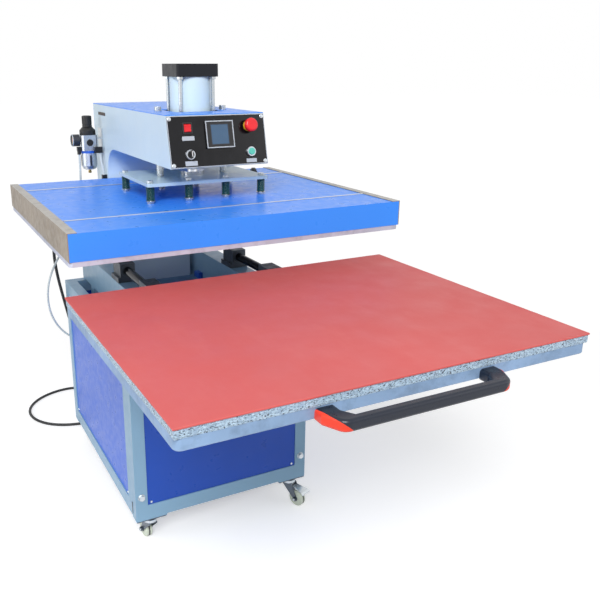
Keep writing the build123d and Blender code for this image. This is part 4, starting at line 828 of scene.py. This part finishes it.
def coil_spring(name):
    """One wire wound along the helix, as a mesh."""
    data = bpy.data.curves.new(name, "CURVE")
    data.dimensions = "3D"
    data.bevel_depth = spring_wire / 2
    data.bevel_resolution = 2
    data.resolution_u = 2
    data.use_fill_caps = True
    spline = data.splines.new("NURBS")
    places = [spring_point(step / points_per_curl) for step in range(spring_turns * points_per_curl + 1)]
    spline.points.add(len(places) - 1)
    for control, place in zip(spline.points, places):
        control.co = (*place, 1.0)
    spline.order_u = 3
    spline.use_endpoint_u = True
    piece = bpy.data.objects.new(name, data)
    scene.collection.objects.link(piece)
    pick(piece)
    bpy.ops.object.convert(target="MESH")
    bpy.ops.object.shade_smooth_by_angle(angle=math.radians(50))
    return bpy.context.object


springs = []
for column in range(4):
    for row in (-spring_row, spring_row):
        spring = coil_spring(f"spring_{column}_{'front' if row < 0 else 'rear'}")
        for vertex in spring.data.vertices:
            vertex.co += Vector(((column - 1.5) * spring_pitch, platen_y + row, 0))
        springs.append(spring)
pick(*springs)
bpy.ops.object.join()
spring_set = bpy.context.object
spring_set.name = "spring_set"
hold(spring_set, "platen", spring_green, ("springs",))
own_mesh(spring_set)

# Control panel: pale edge, corner washers, bare label plates, and the operators' fronts
lean = math.radians(12.9)
panel_half_height = 0.07745
panel_thickness = 0.003
panel_up = Vector((0, math.sin(lean), math.cos(lean)))
panel_out = Vector((0, -math.cos(lean), math.sin(lean)))
panel_middle = Vector((0, head_front_y, head_low_z)) + panel_up * panel_half_height


def panel_point(u, v, out=0.0):
    """A spot on the panel's face: u to the right, v up the panel, out along its normal."""
    return panel_middle + Vector((u, 0, 0)) + panel_up * v + panel_out * (panel_thickness + out)


def panel_plate(name, u, v, size, material, slot, out=0.0):
    """A small plate on the panel's face, with its edges just broken."""
    piece = rounded_plate(name, size, panel_point(u, v, out), panel_out, 0.0002, panel_up)
    hold(piece, "base", material)


def panel_border(name, u, v, size, band, material, slot, out=0.0):
    """A narrow frame that lies on the panel's face or stands out from it."""
    piece = border(name, size, band, panel_point(u, v, out), panel_out, panel_up)
    hold(piece, "base", material)


panel_border("panel_edge", 0, 0, (0.318, 0.1519, 0.0006), 0.0022, silver_plastic, "zinc_plate")
washer_sides = 28
screw_washer = [(0.0062, 0.0), (0.0062, 0.0005), (0.0055, 0.0009), (0.0047, 0.0009)]
for side, u in (("left", -0.151), ("right", 0.151)):
    for level, v in (("low", -0.068), ("high", 0.068)):
        place = panel_point(u, v)
        washer = turned(f"panel_washer_{level}_{side}", screw_washer, place, panel_out, washer_sides)
        hold(washer, "base", zinc)
label_thickness = 0.0006
label_plates = {
    "rocker_label": (-0.097, 0.0099, 0.039, 0.0125),
    "selector_label": (-0.095, -0.0635, 0.039, 0.0136),
    "start_label": (0.1038, -0.0645, 0.035, 0.0115),
}
for name, (u, v, width, height) in label_plates.items():
    panel_plate(name, u, v, (width, height, label_thickness), silver_plastic, "zinc_plate")

controller_u = 0.0039
controller_v = 0.0178
controller_spot = (controller_u, controller_v)
frame_size = (0.0906, 0.0806, 0.0007)
panel_border("controller_frame", *controller_spot, frame_size, 0.0032, silver_plastic, "zinc_plate", 0.007)
display_size = (0.0556, 0.0576, 0.0009)
panel_plate("controller_display", *controller_spot, display_size, display_blue, "black_plastic", 0.0047)
surround_size = (0.0598, 0.0618, 0.0005)
panel_border("display_frame", *controller_spot, surround_size, 0.0022, grey_plastic, "black_plastic", 0.0058)
selector_face = panel_point(-0.097, -0.0375, 0.0209)
line_size = (0.0022, 0.0165, 0.0004)
selector_line = rounded_plate("selector_line", line_size, selector_face, panel_out, 0.0001, panel_up)
hold(selector_line, "selector_knob", white_plastic)

# Filter and regulator: black bonnet, ribbed knob, port, blue ring, dark strips for the shaded sight slot,
# and brass drain
body_low_z = 1.239
body_high_z = 1.296
unit_front_y = unit_y - 0.029
bonnet_steps = [
    (0.0294, 0.0), (0.0296, 0.0008), (0.0296, 0.0165), (0.0287, 0.0178), (0.0196, 0.0280), (0.0184, 0.0284),
]
bonnet = turned("regulator_bonnet", bonnet_steps, (unit_x, unit_y, body_high_z), (0, 0, 1), 48)
hold(bonnet, "base", black_plastic)

knob_low, knob_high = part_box("regulator_knob")
knob_ribs = 26
knob_tall = knob_high.z - knob_low.z
knob_steps = [
    (0.0168, 0.0), (0.0180, 0.0014), (0.0180, 0.0080), (0.0171, 0.0092), (0.0171, 0.0104), (0.0180, 0.0116),
    (0.0180, knob_tall - 0.0040), (0.0174, knob_tall - 0.0018), (0.0156, knob_tall - 0.0004),
    (0.0140, knob_tall), (0.0110, knob_tall), (0.0108, knob_tall - 0.0010),
]
knob_smooth = math.radians(20.0)
knob_foot = (unit_x, unit_y, knob_low.z)
knob = turned("ribbed_knob", knob_steps, knob_foot, (0, 0, 1), 2 * knob_ribs, knob_smooth)
rib_low_z = knob_low.z + 0.0110
rib_high_z = knob_high.z - 0.0030
rib_depth_share = 0.06
for vertex in knob.data.vertices:
    outward = Vector((vertex.co.x - unit_x, vertex.co.y - unit_y, 0))
    side = round(math.atan2(outward.y, outward.x) / (math.pi / knob_ribs))
    if side % 2 and rib_low_z < vertex.co.z < rib_high_z:
        vertex.co -= outward * rib_depth_share
hold(knob, "regulator_knob", black_plastic, ("regulator_knob",))

port_steps = [(0.0125, 0.0), (0.0125, 0.0018), (0.0115, 0.0026), (0.0078, 0.0026), (0.0072, 0.0006)]
port = turned("unit_port", port_steps, (unit_x, unit_front_y, 1.2690), (0, -1, 0))
hold(port, "base", black_plastic)
ring_low_z = body_low_z - 0.0100
bowl_ring_steps = [(0.0292, 0.0), (0.0296, 0.0006), (0.0296, 0.0086), (0.0292, 0.0092)]
bowl_ring = turned("bowl_ring", bowl_ring_steps, (unit_x, unit_y, ring_low_z), (0, 0, 1), 48)
hold(bowl_ring, "base", ring_blue)
# Painted shade: thin dark strips on the bowl stand in for the shaded inside seen through its sight slot
sight_z = 1.2020
sight_reach = 0.0278
for side, way in (("front", (0, -1, 0)), ("left", (-1, 0, 0))):
    spot = Vector((unit_x, unit_y, sight_z)) + Vector(way) * sight_reach
    sight = rounded_plate(f"bowl_sight_shade_{side}", (0.0082, 0.0400, 0.0017), spot, way, 0.0006)
    hold(sight, "base", grey_plastic)
drain_steps = [(0.0056, 0.0), (0.0062, 0.0010), (0.0062, 0.0050), (0.0054, 0.0058), (0.0054, 0.0105)]
drain = turned("bowl_drain", drain_steps, (unit_x, unit_y, 1.1535), (0, 0, 1), 24)
hold(drain, "base", brass)

# Gauge: a pale dial with plain numbers behind its rim
gauge_low, gauge_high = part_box("pressure_gauge")
gauge_y = (gauge_low.y + gauge_high.y) / 2
gauge_z = (gauge_low.z + gauge_high.z) / 2
dial_x = gauge_low.x + 0.0050
dial_steps = [(0.0193, 0.0), (0.0193, 0.0002), (0.0190, 0.0003)]
dial = turned("gauge_dial", dial_steps, (dial_x, gauge_y, gauge_z), (-1, 0, 0))
hold(dial, "base", dial_cream)
rim_spot = (gauge_low.x + 0.0026, gauge_y, gauge_z)
gauge_rim = hoop("gauge_rim", 0.0222, 0.0196, 0.0032, rim_spot, (-1, 0, 0))
hold(gauge_rim, "base", silver_plastic)
dial_middle = Vector((dial_x - 0.0003, gauge_y, gauge_z))
tick_size = (0.0005, 0.0022, 0.0001)
tick_ring = 0.0170
number_size = 0.0048
number_ring = 0.0125
first_mark = 225
mark_step = 27
dial_marks = []
for mark in range(11):
    angle = math.radians(first_mark - mark_step * mark)
    across = Vector((0, -math.cos(angle), math.sin(angle)))
    tick_spot = dial_middle + across * tick_ring
    dial_marks.append(rounded_plate(f"dial_tick_{mark}", tick_size, tick_spot, (-1, 0, 0), 0.0, across))
    if mark % 2 == 0:
        spot = dial_middle + across * number_ring
        number = lettering(f"dial_number_{mark}", str(mark), number_size, spot, (-1, 0, 0), (0, 0, 1))
        dial_marks.append(number)
pick(*dial_marks)
bpy.ops.object.join()
marks = bpy.context.object
marks.name = "dial_marks"
hold(marks, "base", black_plastic)

# Dark plates for the shaded openings of the vent in the head's left side and of the slot in the front post,
# sensor on the right beam, lead nipple on the platen
vent_spot = (column_low.x, 0.7875, 1.3735)
# Painted shade: a thin dark plate stands in for the shaded openings of the vent
vent = rounded_plate("head_vent", (0.091, 0.011, 0.0016), vent_spot, (-1, 0, 0), 0.0005)
hold(vent, "base", vent_shade_brown)
# Painted shade: a thin dark plate on the post stands in for the shaded inside of its slot
slot_spot = (frame_low.x, 0.103, 0.1375)
post_slot_shade = rounded_plate("post_slot_shade", (0.0075, 0.043, 0.0007), slot_spot, (-1, 0, 0), 0.0002)
hold(post_slot_shade, "base", grey_plastic)
sensor_spot = (0.177, 0.677, 0.735)
sensor = rounded_plate("end_sensor", (0.046, 0.024, 0.018), sensor_spot, (-1, 0, 0), 0.0015)
hold(sensor, "base", ring_blue)
nipple_steps = [
    (0.0150, 0.0), (0.0150, 0.0060), (0.0125, 0.0075), (0.0125, 0.0120), (0.0090, 0.0150), (0.0070, 0.0190),
]
nipple_spot = (0.394, 0.630, cover_high.z)
nipple = turned("lead_nipple", nipple_steps, nipple_spot, (0, 0, 1), 6)
hold(nipple, "platen", black_plastic)

# Floor, backdrop and light
pick()
bpy.ops.mesh.primitive_plane_add(size=60.0, location=(0, 0, 0))
floor = bpy.context.object
floor.name = "floor"
floor_finish = Finish("floor_white", 0.9)
floor_finish.set("Base Color", (0.8, 0.8, 0.8, 1.0))
floor_tree = floor_finish.tree


def seen_directly(tree):
    """One on rays that show the surface to the eye, in metal or through glass."""
    paths = tree.nodes.new("ShaderNodeLightPath")
    total = paths.outputs["Is Camera Ray"]
    for name in ("Is Glossy Ray", "Is Transmission Ray"):
        node = tree.nodes.new("ShaderNodeMath")
        node.operation = "MAXIMUM"
        tree.links.new(total, node.inputs[0])
        tree.links.new(paths.outputs[name], node.inputs[1])
        total = node.outputs[0]
    return total


floor_finish.set("Emission Color", (1.0, 1.0, 1.0, 1.0))
floor_lift = ranged(floor_tree, seen_directly(floor_tree), (0.0, 1.0, 0.0, 0.42))
floor_tree.links.new(floor_lift, floor_finish.shader.inputs["Emission Strength"])
away = floor_tree.nodes.new("ShaderNodeVectorMath")
away.operation = "LENGTH"
floor_tree.links.new(floor_finish.place, away.inputs[0])
near_edge = 1.3
far_edge = 3.0
far = ranged(floor_tree, away.outputs["Value"], (near_edge, far_edge, 0.0, 1.0))
glow = floor_tree.nodes.new("ShaderNodeEmission")
glow_strength = ranged(floor_tree, seen_directly(floor_tree), (0.0, 1.0, 0.3, 1.02))
floor_tree.links.new(glow_strength, glow.inputs["Strength"])
either = floor_tree.nodes.new("ShaderNodeMixShader")
floor_tree.links.new(far, either.inputs[0])
floor_tree.links.new(floor_finish.shader.outputs[0], either.inputs[1])
floor_tree.links.new(glow.outputs[0], either.inputs[2])
floor_tree.links.new(either.outputs[0], floor_tree.nodes["Material Output"].inputs["Surface"])
floor.data.materials.append(floor_finish.material)

world = bpy.data.worlds.new("studio")
scene.world = world
world.use_nodes = True
sky = world.node_tree
background = sky.nodes["Background"]
background.inputs["Color"].default_value = (1.0, 1.0, 1.0, 1.0)
sky.links.new(ranged(sky, seen_directly(sky), (0.0, 1.0, 0.42, 1.0)), background.inputs["Strength"])


def lamp(name, place, aim, power, size):
    """A square soft lamp that points at a spot."""
    data = bpy.data.lights.new(name, "AREA")
    data.energy = power
    data.size = size
    light = bpy.data.objects.new(name, data)
    light.location = place
    light.rotation_mode = "QUATERNION"
    light.rotation_quaternion = (Vector(aim) - Vector(place)).to_track_quat("-Z", "Y")
    scene.collection.objects.link(light)


lamp("key", (-2.2, -3.7, 4.0), (0.0, 0.0, 0.9), 240.0, 1.8)
lamp("fill", (3.4, -3.2, 2.6), (0.0, 0.0, 0.7), 20.0, 3.0)
lamp("side", (-4.2, 0.4, 1.8), (0.0, 0.2, 0.9), 36.0, 2.4)
